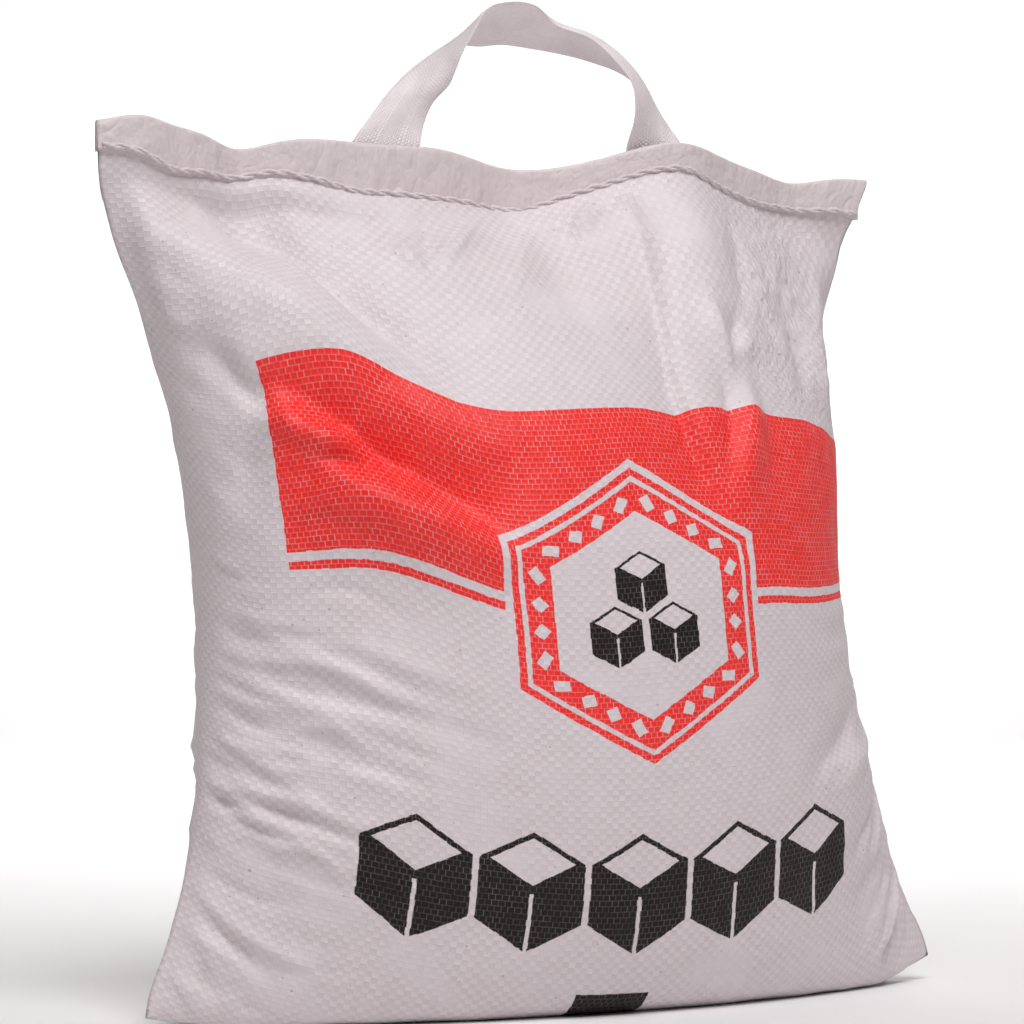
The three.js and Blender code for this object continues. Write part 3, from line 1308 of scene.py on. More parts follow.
UPPER_LEFT_FOLDS = (
    Fold(((-140, 347, 0.4), (-120, 336, 1.6), (-103, 323, 3.0), (-89, 308, 4.2), (-75, 290, 4.8),
          (-66, 276, 4.4), (-59, 264, 3.0), (-51, 249, 1.2), (-42, 232, 0)), 30, 7, 0.9),
    Fold(((-151, 330, -1.0), (-135, 313, -3.2), (-117, 296, -4.8), (-100, 279, -5.0), (-87, 264, -2.6),
          (-78, 254, 0)), 12, 28, 0.1),
    Fold(((-118, 262, 0), (-110, 254, 1.6), (-98, 243, 3.6), (-88, 234, 4.2), (-80, 228, 2.4),
          (-72, 224, 0)), 13, 5.5, 0.5),
    Fold(((-118, 250, 0), (-108, 236, -2), (-97, 230, -2.8), (-87, 226, 0)), 5, 7, 0.1),
    Fold(((-92, 231, 0), (-84, 227, 3), (-70, 222, 4.6), (-55, 212, 4.2), (-46, 203, 1.8),
          (-37, 196, 0)), 16, 6.5, 0.5),
    Fold(((-104, 221, -0.6), (-92, 213, -4), (-78, 208, -5), (-63, 202, -4.6), (-52, 196, -3),
          (-40, 189, 0)), 5.5, 17, 0.2),
    Fold(((-105, 225, 0), (-98, 224, 1.3), (-90, 222, 1.6), (-84, 221, 0)), 3, 2.5, 0.6),
    Fold(((-136, 280, 0), (-128, 266, 1.4), (-121, 252, 1.4), (-112, 240, 0)), 4, 7, 0.4),
    Fold(((-120, 240, 0), (-129, 222, 1.3), (-135, 206, 0)), 6, 5, 0.3),
)
HANDLE_FOLDS = (
    Fold(((-54, 328, 0), (-51, 317, -1.1), (-46, 308, 0)), 4, 3, 0.7),
    Fold(((-14, 338, 0), (-31, 320, -1.4), (-46, 308, 0)), 3, 5, 0.7),
    Fold(((-34, 341, 0), (-41, 320, 0.9), (-45, 304, 0)), 4, 4, 0.4),
    Fold(((14, 346, 0), (-6, 315, -1.0), (-23, 285, 0)), 7, 7, 0.5),
    Fold(((-72, 345, 0), (-76, 305, 1.1), (-73, 268, 0)), 13, 13, 0.1),
    Fold(((-112, 346, 0), (-100, 322, 0.9), (-90, 300, 0)), 12, 12, 0.1),
    Fold(((8, 344, 0), (18, 341, -1.6), (28, 344, 0)), 3, 6, 0.3),
    Fold(((39, 347, -0.6), (32, 336, -2.0), (23, 326, 0)), 4, 8, 0.6),
    Fold(((25, 344, 0), (12, 312, 0.9), (6, 280, 0)), 12, 9, 0.2),
)
RIGHT_FOLDS = (
    Fold(((49, 348, 1.8), (47, 328, 3.0), (43, 308, 3.8), (40, 286, 4.2), (37, 265, 4.8), (35, 249, 5.6),
          (36, 236, 6.0), (40, 219, 5.0), (46, 205, 2.4), (53, 190, 0)), 3.6, 20, 0.9),
    Fold(((66, 330, 0), (61, 300, -1.2), (58, 270, -1.8), (54, 240, -1.4), (56, 215, 0)), 10, 10, 0.3),
    Fold(((95, 348, 0), (92, 326, 1.3), (85, 300, 1.8), (80, 284, 0)), 4, 10, 0.7),
    Fold(((60, 292, 0), (60, 279, -3), (61, 266, -2.4), (57, 250, 0)), 4, 5, 0.5),
    Fold(((80, 293, 0), (72, 278, 2.3), (65, 265, 0)), 4, 4, 0.6),
    Fold(((83, 281, 0), (74, 271, -2.2), (65, 264, 0)), 4, 4, 0.5),
    Fold(((70, 266, 0), (67, 252, -1.6), (64, 240, -2.8), (58, 226, -2.4), (53, 211, -1.2),
          (50, 199, 0)), 8, 5, 0.3),
    Fold(((57, 272, 0), (57, 252, 2.8), (55, 240, 3.6), (50, 227, 2.2), (46, 214, 0)), 4, 6, 0.8),
    Fold(((80, 268, 0), (77, 254, 1.0), (74, 240, 1.6), (71, 223, 1.2), (68, 206, 0)), 16, 6, 0.5),
    Fold(((143, 324, 0), (138, 304, -2.4), (130, 284, -3.6), (126, 266, -3), (127, 248, 0)), 8, 7, 0.4),
    Fold(((118, 318, 0), (112, 298, 1.6), (112, 276, 1.8), (108, 256, 0)), 7, 5, 0.5),
    Fold(((70, 157, 0), (90, 156, -0.6), (114, 155, -0.8), (134, 157, 0)), 4, 5, 0.3),
    Fold(((84, 170, 0), (104, 168, -0.6), (122, 169, -0.7), (140, 172, 0)), 4, 5, 0.3),
    Fold(((130, 134, 0), (116, 127, 1.3), (103, 121, 2.0), (89, 115, 1.5), (72, 105, 0)), 5, 8, 0.5),
    Fold(((134, 120, 0), (119, 113, -1.4), (107, 109, -1.9), (92, 102, 0)), 8, 5, 0.3),
    Fold(((144, 100, 0), (127, 87, 1.3), (115, 81, 1.4), (102, 75, 0)), 3.5, 4, 0.4),
    Fold(((148, 80, 0), (130, 69, 1.1), (117, 62, 1.1), (104, 56, 0)), 3.5, 4, 0.4),
    Fold(((151, 54, 0), (139, 43, -1.5), (126, 35, -1.5), (115, 28, 0)), 3, 3, 0.5),
    Fold(((153, 42, 0), (144, 34, 1.7), (133, 28, 1.7), (122, 23, 0)), 3, 4, 0.5),
)
LOWER_LEFT_FOLDS = (
    Fold(((-108, 160, 0), (-89, 156, -1.2), (-76, 152, -1.2), (-62, 149, -0.7), (-48, 145, 0)), 4, 3, 0.3),
    Fold(((-112, 156, 0), (-100, 153, 0.8), (-88, 149, 1.0), (-76, 145, 0.7), (-60, 140, 0)), 3, 3, 0.3),
    Fold(((-124, 156, 0), (-114, 153, -1.3), (-104, 149, -1.5), (-88, 143, -1.3), (-73, 139, -0.7),
          (-58, 136, 0)), 3, 3, 0.3),
    Fold(((-142, 147, 0), (-128, 147, 1.1), (-116, 146, 1.6), (-101, 142, 1.8), (-83, 137, 1.5),
          (-61, 132, 0.8), (-46, 129, 0)), 3.5, 4, 0.4),
    Fold(((-155, 134, 0), (-132, 139, -1.2), (-115, 138, -1.1), (-98, 134, -0.8),
          (-78, 129, 0)), 3, 5, 0.2),
    Fold(((-157, 143, 0), (-145, 152, 1.1), (-135, 159, 1.3), (-123, 156, 0)), 4, 4, 0.4),
    Fold(((-142, 128, 0), (-128, 127, 1.0), (-114, 124, 1.4), (-97, 120, 1.3), (-85, 116, 0.7),
          (-70, 111, 0)), 4, 3.5, 0.4),
    Fold(((-158, 108, -0.5), (-145, 113, -1.3), (-136, 116, -1.6), (-117, 118, -1.5), (-101, 115, -1.1),
          (-86, 111, -0.5), (-74, 107, 0)), 3, 3, 0.3),
    Fold(((-148, 109, 0), (-138, 110, 1.1), (-126, 108, 1.4), (-111, 104, 1.0),
          (-96, 99, 0)), 3.5, 3.5, 0.3),
    Fold(((-158, 91, -0.8), (-147, 96, -1.6), (-137, 99, -1.9), (-124, 100, -1.9), (-114, 99, -1.7),
          (-102, 96, -1.1), (-86, 89, 0)), 3, 2.6, 0.4),
    Fold(((-158, 88, 0.6), (-146, 92, 1.1), (-129, 95, 1.3), (-115, 94, 1.3), (-100, 91, 0.9),
          (-86, 86, 0)), 2.6, 2.6, 0.3),
    Fold(((-158, 81, -0.7), (-146, 86, -1.2), (-134, 90, -1.3), (-121, 90, -1.3), (-102, 88, -1.0),
          (-88, 83, 0)), 2.6, 2.6, 0.3),
    Fold(((-148, 82, 0), (-133, 83, -0.7), (-117, 83, -1.0), (-102, 80, -0.7), (-88, 76, 0)), 3, 3, 0.3),
    Fold(((-140, 73, 0), (-122, 72, -0.6), (-104, 68, -0.6), (-90, 62, 0)), 3, 3, 0.2),
    Fold(((-152, 48, 0), (-142, 45, 1.3), (-134, 42, 1.6), (-127, 38, 1.1), (-117, 33, 0)), 4, 2.4, 0.5),
    Fold(((-158, 37, -1), (-150, 39, -2.0), (-144, 38, -2.3), (-134, 36, -1.6), (-127, 33, -0.9),
          (-118, 29, 0)), 2.4, 4, 0.6),
    Fold(((-157, 22, -0.8), (-151, 21, -1.9), (-147, 18, -1.9), (-142, 13, -1),
          (-137, 9, 0)), 2.4, 2.4, 0.6),
    Fold(((-156, 16, 0.6), (-149, 14, 1.5), (-144, 10, 0.9), (-139, 6, 0)), 2.4, 3, 0.5),
)
BACK_FOLDS = (
    Fold(((170, 340, 1.0), (186, 322, 3.2), (206, 300, 4.6), (222, 276, 4.0), (238, 250, 0)), 20, 8, 0.6),
    Fold(((172, 306, 0), (190, 290, -3), (210, 270, -4), (226, 248, 0)), 10, 14, 0.2),
    Fold(((260, 346, 0.8), (266, 312, 2.0), (272, 276, 2.4), (280, 240, 0)), 6, 20, 0.6),
    Fold(((352, 346, 0.8), (350, 316, 1.6), (340, 284, 2.6), (336, 250, 0)), 18, 6, 0.6),
    Fold(((448, 338, 1.0), (430, 318, 3.4), (408, 298, 4.4), (392, 272, 3.6), (380, 244, 0)), 8, 22, 0.6),
    Fold(((452, 300, 0), (430, 284, -3), (410, 262, -3.6), (398, 240, 0)), 12, 9, 0.2),
    Fold(((170, 118, -0.6), (190, 122, -1.4), (214, 119, -1.3), (236, 110, 0)), 3, 3, 0.3),
    Fold(((166, 104, 0.6), (188, 108, 1.4), (214, 104, 1.2), (238, 94, 0)), 3.5, 3.5, 0.3),
    Fold(((168, 92, -0.6), (188, 95, -1.5), (212, 91, -1.2), (232, 82, 0)), 3, 3, 0.3),
    Fold(((454, 130, 0.5), (432, 134, 1.4), (408, 130, 1.2), (384, 120, 0)), 3.5, 3.5, 0.3),
    Fold(((456, 112, -0.6), (434, 117, -1.6), (410, 113, -1.3), (388, 103, 0)), 3, 3, 0.3),
    Fold(((458, 96, 0.4), (436, 100, 1.2), (414, 96, 1.0), (394, 87, 0)), 3, 3, 0.3),
)
FOLD_GROUPS = (
    FoldGroup(UPPER_LEFT_FOLDS, 2.2),
    FoldGroup(HANDLE_FOLDS, 2.7),
    FoldGroup(RIGHT_FOLDS, 1.2),
    FoldGroup(LOWER_LEFT_FOLDS, 0.85),
    FoldGroup(BACK_FOLDS, 1.4),
)
CRUMPLES = (
    Crumple((110, 306), (30, 44), 150, 0.42, (6, 20), (1.8, 3.2), 105, 50, 11),
    Crumple((-126, 116), (32, 64), 90, 0.78, (30, 74), (1.7, 2.6), 171, 6, 19),
    Crumple((126, 78), (26, 60), 60, 0.7, (16, 44), (1.7, 2.8), 32, 10, 20),
    Crumple((200, 100), (40, 70), 70, 0.6, (14, 42), (1.5, 2.8), 6, 9, 21),
    Crumple((424, 100), (40, 70), 70, 0.6, (14, 42), (1.5, 2.8), 174, 9, 22),
    Crumple((-140, 22), (16, 18), 26, 0.7, (5, 14), (1.8, 3.0), 150, 40, 12),
    Crumple((138, 26), (16, 20), 26, 0.7, (5, 14), (1.8, 3.0), 40, 40, 13),
    Crumple((-128, 262), (22, 40), 40, 0.5, (8, 22), (2.2, 4.0), 110, 40, 14),
    Crumple((0, 190), (170, 170), 260, 0.20, (10, 30), (2.5, 5.0), 90, 60, 15),
    Crumple((210, 300), (34, 46), 130, 0.5, (6, 20), (1.8, 3.2), 84, 42, 16),
    Crumple((420, 296), (34, 46), 120, 0.5, (6, 20), (1.8, 3.2), 100, 42, 17),
    Crumple((312, 190), (170, 170), 260, 0.22, (10, 30), (2.5, 5.0), 90, 60, 18),
)


# ---------------------------------------------------------------------------
# The pieces
# ---------------------------------------------------------------------------

@dataclass(frozen=True)
class ClothSolver:
    """How the cloth solver treats the sack's cloth."""

    frames: int = 22
    quality: int = 6
    mass: float = 0.15
    air_damping: float = 4.0
    stretch: float = 40.0
    shear: float = 15.0
    bending: float = 1.5
    pressure: float = 0.25
    pin_stiffness: float = 0.6

    def run(self, piece: bpy.types.Object, pins: bpy.types.VertexGroup,
            rest: bpy.types.ShapeKey) -> np.ndarray:
        """Runs the solver and takes its modifier off again.

        Args:
            piece: The cloth.
            pins: How firmly each point is held.
            rest: The size that the cloth is cut to.

        Returns:
            Where its points end up, in metres.
        """
        cloth = piece.modifiers.new("cloth", "CLOTH")
        settings = cloth.settings
        settings.quality = self.quality
        settings.mass = self.mass
        settings.air_damping = self.air_damping
        settings.tension_stiffness = settings.compression_stiffness = self.stretch
        settings.shear_stiffness = self.shear
        settings.bending_stiffness = self.bending
        settings.use_pressure = True
        settings.uniform_pressure_force = self.pressure
        settings.vertex_group_mass = pins.name
        settings.pin_stiffness = self.pin_stiffness
        settings.rest_shape_key = rest
        settings.effector_weights.gravity = 0
        scene = bpy.context.scene
        scene.frame_start, scene.frame_end = 1, self.frames
        cloth.point_cache.frame_start, cloth.point_cache.frame_end = 1, self.frames
        for frame_number in range(1, self.frames + 1):
            scene.frame_set(frame_number)
        graph = bpy.context.evaluated_depsgraph_get()
        points = read(piece.evaluated_get(graph).data.vertices, "co", 3)
        scene.frame_set(1)
        piece.modifiers.remove(cloth)
        return points


@dataclass(frozen=True)
class Ripple:
    """A faint wave of the threads: its height, its pitch, its start, and the pitch of its slant."""

    height: float
    pitch: float
    start: float = 0.0
    slant: float = math.inf

    def at(self, along: np.ndarray, aside: np.ndarray) -> np.ndarray:
        """How far the threads stray at places along and aside, in millimetres."""
        return self.height * np.sin(along / self.pitch + self.start + aside / self.slant)


@dataclass
class SackBody:
    """The filled, woven body of the sack."""

    shape: SackShape
    solver: ClothSolver = ClothSolver()
    columns: int = 50            # steps across one face, before it is subdivided
    rows: int = 57
    finer: int = 2

    spare_height: float = 0.055  # how much taller the cloth is than its form near the side edges
    spare_width: float = 0.012
    spare_beside: Pair = (0.4, 0.95)
    loose_beside: Pair = (0.35, 0.8)     # where it turns free to move, from a face's middle to its edge
    loose_filled: float = 0.1            # how free it is where sugar fills it
    loose_mouth: float = 0.75            # how free it is under the hem
    loose_above: Pair = (230.0, 290.0)
    held_floor: Pair = (12.0, 60.0)
    held_mouth: Pair = (300.0, 335.0)
    most_moved: float = 5.0
    calm_beside: Pair = (0.86, 0.99)
    jitter: float = 0.35
    seed: int = 7

    edge_calm: float = 0.92      # how much weaker the folds are along the side edges
    edge_calm_beside: Pair = (0.91, 0.98)
    crumple_strength: float = 1.3
    floor_fade: float = 6.0
    hem_fade: Pair = (334.0, 343.0)

    seam_room: float = 1.6       # how far the base stands clear over the bottom hem
    seam_room_fade: Pair = (0.3, 3.5)
    sharp_mouth: Pair = (250.0, 330.0)
    sharp_ears: Pair = (20.0, 90.0)
    sharp_seam_from: float = 0.85
    edge_from: float = 0.999     # what counts as the side edge, from a face's middle
    end_margin: float = 1.0      # what counts as the cloth's ends, in millimetres

    print_drop: float = 18.0     # how far the threads sag in the middle of the front
    print_drop_left: Pair = (-88.0, -34.0)
    print_drop_right: Pair = (200.0, 300.0)
    print_drop_up: tuple[float, float, float] = (60.0, 262.0, 348.0)
    corner_drop: float = 15.0    # how far they sag at its right edge
    corner_drop_left: Pair = (95.0, 156.0)
    corner_drop_up: Pair = (190.0, 262.0)
    corner_drop_top: Pair = (285.0, 348.0)
    stray_across: tuple[Ripple, ...] = (Ripple(0.5, 31, 0.4), Ripple(0.35, 13.7, slant=60))
    stray_up: tuple[Ripple, ...] = (Ripple(0.6, 37, 1.1), Ripple(0.35, 15.1, slant=70))
    name: str = "sack_body"

    def lay_out(self) -> bpy.types.Object:
        """Wraps a grid of cloth round the form and closes it along its side and both ends.

        Returns:
            The coarse cloth.
        """
        shape = self.shape
        front = shape.face(Side.FRONT, self.columns, self.rows)
        back = shape.face(Side.BACK, self.columns, self.rows)[:, ::-1]
        around = np.concatenate([front, back[:, 1:]], axis=1)
        for end in (0, -1):
            around[end] = (around[end] + around[end][::-1]) / 2
        across = np.linspace(0, shape.girth, 2 * self.columns + 1) - shape.flat_width / 2
        up = np.linspace(0, shape.flat_height, self.rows + 1)
        flat = np.stack(np.meshgrid(across, up), axis=-1)
        return laid_out(self.name, shape.in_frame(around), flat)

    def looseness(self, points: np.ndarray, beside: np.ndarray, up: np.ndarray) -> np.ndarray:
        """Works out how free each point is to move.

        Args:
            points: Places in metres.
            beside: How far each is from a face's middle, 0, to a side edge, 1.
            up: Its place up the flat cloth.

        Returns:
            From 0 at the hem and on the floor to 1 where the cloth hangs loose.
        """
        height = points[:, 2] / MM
        free = smoothstep(beside, *self.loose_beside) * (1 - self.loose_filled) + self.loose_filled
        free = np.maximum(free, self.loose_mouth * smoothstep(up, *self.loose_above))
        return free * smoothstep(height, *self.held_floor) * (1 - smoothstep(up, *self.held_mouth))

    def settle(self, piece: bpy.types.Object) -> None:
        """Lets the spare cloth at the sides buckle, by cloth simulation, and keeps the result.

        Args:
            piece: The coarse cloth, whose points are moved.
        """
        mesh = piece.data
        start = read(mesh.vertices, "co", 3)
        across, up = flat_places(mesh).T
        beside = self.shape.from_middle(across)
        free = self.looseness(start, beside, up)
        draw = np.random.default_rng(self.seed)
        nudge = draw.normal(0, self.jitter * MM, len(free)) * free
        loose = start + read(mesh.vertex_normals, "vector", 3) * nudge[:, None]
        mesh.vertices.foreach_set("co", loose.ravel())
        piece.shape_key_add(name="form")
        rest = piece.shape_key_add(name="rest")
        cut = start * [1 + self.spare_width, 1 + self.spare_width, 1.0]
        spare = self.spare_height * smoothstep(beside, *self.spare_beside)
        cut[:, 2] += (start[:, 2] - start[:, 2].mean()) * spare
        rest.data.foreach_set("co", cut.ravel())
        pins = piece.vertex_groups.new(name="pins")
        for index, value in enumerate(1 - free):
            pins.add([index], float(value), "REPLACE")
        moved = self.solver.run(piece, pins, rest) - start
        piece.shape_key_clear()
        piece.vertex_groups.remove(pins)
        length = np.linalg.norm(moved, axis=1, keepdims=True)
        calm = 1 - smoothstep(beside, *self.calm_beside)
        cap = self.most_moved * MM * (free * calm)[:, None] ** 0.5
        moved *= cap * np.tanh(length / np.maximum(cap, TINY)) / np.maximum(length, TINY)
        LOG.info("cloth moved %.1f mm at most, %.2f mm on average", length.max() / MM, length.mean() / MM)
        settled = start + moved
        settled[:, 2] = np.maximum(settled[:, 2], 0)
        move_to(mesh, settled)

    def keep_sharp(self, piece: bpy.types.Object) -> None:
        """Keeps the edges sharp where the sack is flat: at its mouth, its ears and its bottom seam.

        Args:
            piece: The coarse cloth, which is given creases for its subdivision.
        """
        mesh = piece.data
        across, up = flat_places(mesh).T
        from_middle = self.shape.from_middle(across)
        on_edge = from_middle > self.edge_from
        edge = read(mesh.edges, "vertices", 2, np.int32)
        flat = np.maximum(smoothstep(up, *self.sharp_mouth), 1 - smoothstep(up, *self.sharp_ears))
        sharp = np.where(on_edge[edge].all(axis=1), flat[edge].mean(axis=1), 0.0)
        mouth = (up[edge] > self.shape.flat_height - self.end_margin).all(axis=1)
        seam = (up[edge] < self.end_margin).all(axis=1)
        seam_ends = seam & (from_middle[edge].min(axis=1) > self.sharp_seam_from)
        sharp = np.where(mouth | seam_ends, 1.0, sharp)
        attribute = mesh.attributes.new("crease_edge", "FLOAT", "EDGE")
        attribute.data.foreach_set("value", sharp)

    def crease(self, piece: bpy.types.Object) -> None:
        """Presses the folds into the cloth.

        Args:
            piece: The fine cloth, whose points are moved.
        """
        mesh = piece.data
        across, up = flat_places(mesh).T
        relief = np.zeros(len(across))
        crumpled = tuple(fold for crumple in CRUMPLES for fold in crumple.folds())
        for group in (*FOLD_GROUPS, FoldGroup(crumpled, self.crumple_strength)):
            part = np.zeros(len(across))
            for fold in group.folds:
                fold.add_to(part, across, up, self.shape.girth)
            relief += part * group.strength
        beside = self.shape.from_middle(across)
        relief *= 1 - self.edge_calm * smoothstep(beside, *self.edge_calm_beside)
        points = read(mesh.vertices, "co", 3)
        outward = read(mesh.vertex_normals, "vector", 3)
        height = points[:, 2] / MM
        relief *= smoothstep(height, 0, self.floor_fade) * (1 - smoothstep(up, *self.hem_fade))
        points += outward * (relief * MM)[:, None]
        points[:, 2] = np.maximum(points[:, 2], 0)
        move_to(mesh, points)

    def hang_print(self, piece: bpy.types.Object) -> None:
        """Pulls the threads down where the folds don't take up any cloth, and lets them waver.

        Args:
            piece: The fine cloth, whose UV map is changed.
        """
        mesh = piece.data
        uv = read(mesh.uv_layers[CLOTH_MAP].uv, "vector", 2)
        across, up = uv.T
        bottom, lowest, top = self.print_drop_up
        before_back = 1 - smoothstep(across, *self.print_drop_right)
        middle = smoothstep(across, *self.print_drop_left) * before_back
        pulled = smoothstep(up, bottom, lowest) * (1 - smoothstep(up, lowest, top))
        corner = smoothstep(across, *self.corner_drop_left) * before_back
        corner_pulled = smoothstep(up, *self.corner_drop_up) * (1 - smoothstep(up, *self.corner_drop_top))
        uv[:, 1] += self.print_drop * middle * pulled + self.corner_drop * corner * corner_pulled
        uv[:, 0] += sum(ripple.at(up, across) for ripple in self.stray_across)
        uv[:, 1] += sum(ripple.at(across, up) for ripple in self.stray_up)
        mesh.uv_layers[CLOTH_MAP].uv.foreach_set("vector", uv.ravel())

    def make_seam_room(self, piece: bpy.types.Object) -> None:
        """Lifts the base over the folded hem that the sack stands on.

        Args:
            piece: The fine cloth, whose points are moved.
        """
        low, high = self.shape.base_seam
        points = read(piece.data.vertices, "co", 3) / MM
        beside_y = np.abs(points[:, 1] - (low[1] + high[1]) / 2) - (high[1] - low[1]) / 2
        beside_x = np.abs(points[:, 0] - (low[0] + high[0]) / 2) - (high[0] - low[0]) / 2
        near = 1 - smoothstep(np.maximum(beside_x, beside_y), *self.seam_room_fade)
        lift = self.seam_room * near * (points[:, 2] < self.seam_room)
        points[:, 2] = np.maximum(points[:, 2], lift)
        move_to(piece.data, points * MM)

    def build(self) -> bpy.types.Object:
        """Makes the body.

        Returns:
            The piece.
        """
        piece = self.lay_out()
        self.settle(piece)
        self.keep_sharp(piece)
        subdivided(piece, self.finer)
        self.crease(piece)
        self.hang_print(piece)
        self.make_seam_room(piece)
        piece.data.materials.append(WovenCloth().build())
        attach(piece, "root")
        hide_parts("sack")
        return piece


@dataclass
class HemBand:
    """The tape folded over the sack's mouth."""

    shape: SackShape
    steps: int = 420
    side_steps: int = 9
    turn_steps: int = 7
    drop: float = 1.2            # how far it reaches below the stitching's line
    foot_bevel: float = 0.2
    flute_pitch: float = 5.5
    flute_pitches: Pair = (0.5, 1.5)
    flute_height: float = 0.75
    flute_heights: Pair = (-0.7, 1.0)
    flute_widths: Pair = (1.6, 3.4)
    flute_margin: float = 3.0
    flute_calm: float = 0.45     # share of the flutes' height that is left far from the handle
    gathered: float = 0.9        # what the handle adds to it
    gathered_at: float = -25.0
    gathered_reach: float = 55.0
    top_calm: float = 0.55       # how much weaker the flutes are at the band's top
    sag: float = 0.35            # how far its top wavers
    sag_pitches: Pair = (23.0, 9.1)
    sag_start: float = 1.0
    sag_above: float = 3.0
    seed: int = 21
    name: str = "hem_band"

    def flutes(self, x: np.ndarray, seed: int) -> np.ndarray:
        """Works out how far the band bulges along its length, where the thread draws it in.

        Args:
            x: Places along the band.
            seed: Seed of the flutes' sizes.

        Returns:
            Millimetres outwards.
        """
        draw = np.random.default_rng(seed)
        out = np.zeros_like(x)
        at = -self.shape.hem_half_width + self.flute_margin
        while at < self.shape.hem_half_width - self.flute_margin:
            away = (at - self.gathered_at) / self.gathered_reach
            near_handle = self.flute_calm + self.gathered * math.exp(-away ** 2)
            height = draw.uniform(*self.flute_heights) * self.flute_height * near_handle
            out += height * np.exp(-(((x - at) / draw.uniform(*self.flute_widths)) ** 2))
            at += self.flute_pitch * draw.uniform(*self.flute_pitches)
        return out

    def section(self, low: float, high: float) -> tuple[np.ndarray, np.ndarray]:
        """Works out the band's section: up the front, over the fold and down the back.

        Args:
            low: Height of its foot.
            high: Height of its top.

        Returns:
            Places behind the band's middle, and heights.
        """
        half = self.shape.hem_thickness / 2
        rise = np.linspace(0, 1, self.side_steps)
        turn = np.linspace(0, math.pi, self.turn_steps)[1:-1]
        straight = high - half
        back = np.concatenate([-half + 0 * rise, -half * np.cos(turn), half + 0 * rise, [0.0, -half]])
        z = np.concatenate([low + (straight - low) * rise, straight + half * np.sin(turn),
                            straight - (straight - low) * rise, [low + self.foot_bevel, low]])
        return back, z

    def build(self) -> bpy.types.Object:
        """Makes the band.

        Returns:
            The piece.
        """
        shape = self.shape
        half = shape.hem_thickness / 2
        low, high = shape.body_top - self.drop, shape.hem_top
        back, z = self.section(low, high)
        x = np.linspace(-shape.hem_half_width, shape.hem_half_width, self.steps + 1)
        narrowed = shape.hem_line(x)
        front, rear = self.flutes(x, self.seed), self.flutes(x, self.seed + 1)
        share = 1 - self.top_calm * (z - low) / (high - low)
        swell = np.where(back[None, :] < 0, -front[:, None], rear[:, None]) * share[None, :]
        swell *= np.minimum(1, np.abs(back) / half)[None, :]
        slow, quick = self.sag_pitches
        sag = self.sag * np.sin(x / slow) * np.sin(x / quick + self.sag_start)
        level = z[None, :] + sag[:, None] * (z > low + self.sag_above)[None, :]
        level = high - (high - level) * (1 - narrowed[:, None] / (high - low))
        points = shape.band(x[:, None] + shape.lean_side, back[None, :] + swell, level)
        length = np.concatenate([[0], np.cumsum(np.hypot(np.diff(back), np.diff(z)))])
        flat = np.stack(np.broadcast_arrays(x[:, None], length[None, :]), axis=-1)
        piece = laid_out(self.name, shape.in_frame(points), flat, caps=True)
        piece.data.materials.append(PaperTape().build())
        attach(piece, "root")
        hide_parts("top_hem")
        return piece


@dataclass
class StitchCord:
    """A cord of two twisted strands that is sewn along the hem."""

    line: np.ndarray             # points along its middle, in millimetres
    seed: int
    strand: float = 0.66         # radius of each strand
    twist: float = 13.0          # length of one full turn
    orbit: Pair = (0.902, 0.615)     # how far a strand's middle winds up and out, in strands
    wobble: float = 0.35
    wobble_pitch: float = 9.0
    swell: float = 0.10
    swell_pitch: float = 3.1
    end_taper: float = 1.5
    end_size: float = 0.35
    sides: int = 8

    def strand_points(self, phase: float) -> tuple[np.ndarray, np.ndarray]:
        """Winds one strand round the cord's middle.

        Args:
            phase: Where round the cord the strand starts.

        Returns:
            Its surface points and their places on the flat thread.
        """
        draw = np.random.default_rng(self.seed)
        run = np.gradient(self.line, axis=0)
        pace = np.linalg.norm(run, axis=1)
        run /= pace[:, None]
        length = np.cumsum(pace) - pace[0]
        outward = np.cross(run, [0, 0, 1.0])
        outward /= np.linalg.norm(outward, axis=1)[:, None]
        upward = np.cross(outward, run)
        keys = np.arange(0, length[-1] + 2 * self.wobble_pitch, self.wobble_pitch)
        wobble = np.interp(length, keys, draw.normal(0, self.wobble, len(keys)))
        angle = phase + length / self.twist * math.tau + wobble
        up, out = (self.strand * share for share in self.orbit)
        middle = self.line + np.cos(angle)[:, None] * upward * up + np.sin(angle)[:, None] * outward * out
        around = np.linspace(0, math.tau, self.sides + 1)
        ring = (np.cos(around)[None, :, None] * upward[:, None, :]
                + np.sin(around)[None, :, None] * outward[:, None, :])
        fatness = self.strand * (1 + self.swell * np.sin(length / self.swell_pitch + phase))
        from_end = np.minimum(length, length[-1] - length)
        ends = np.minimum(1, from_end / self.end_taper + self.end_size)
        points = middle[:, None, :] + ring * (fatness * ends)[:, None, None]
        flat = np.stack(np.broadcast_arrays(length[:, None], around[None, :] * self.strand), axis=-1)
        return points, flat


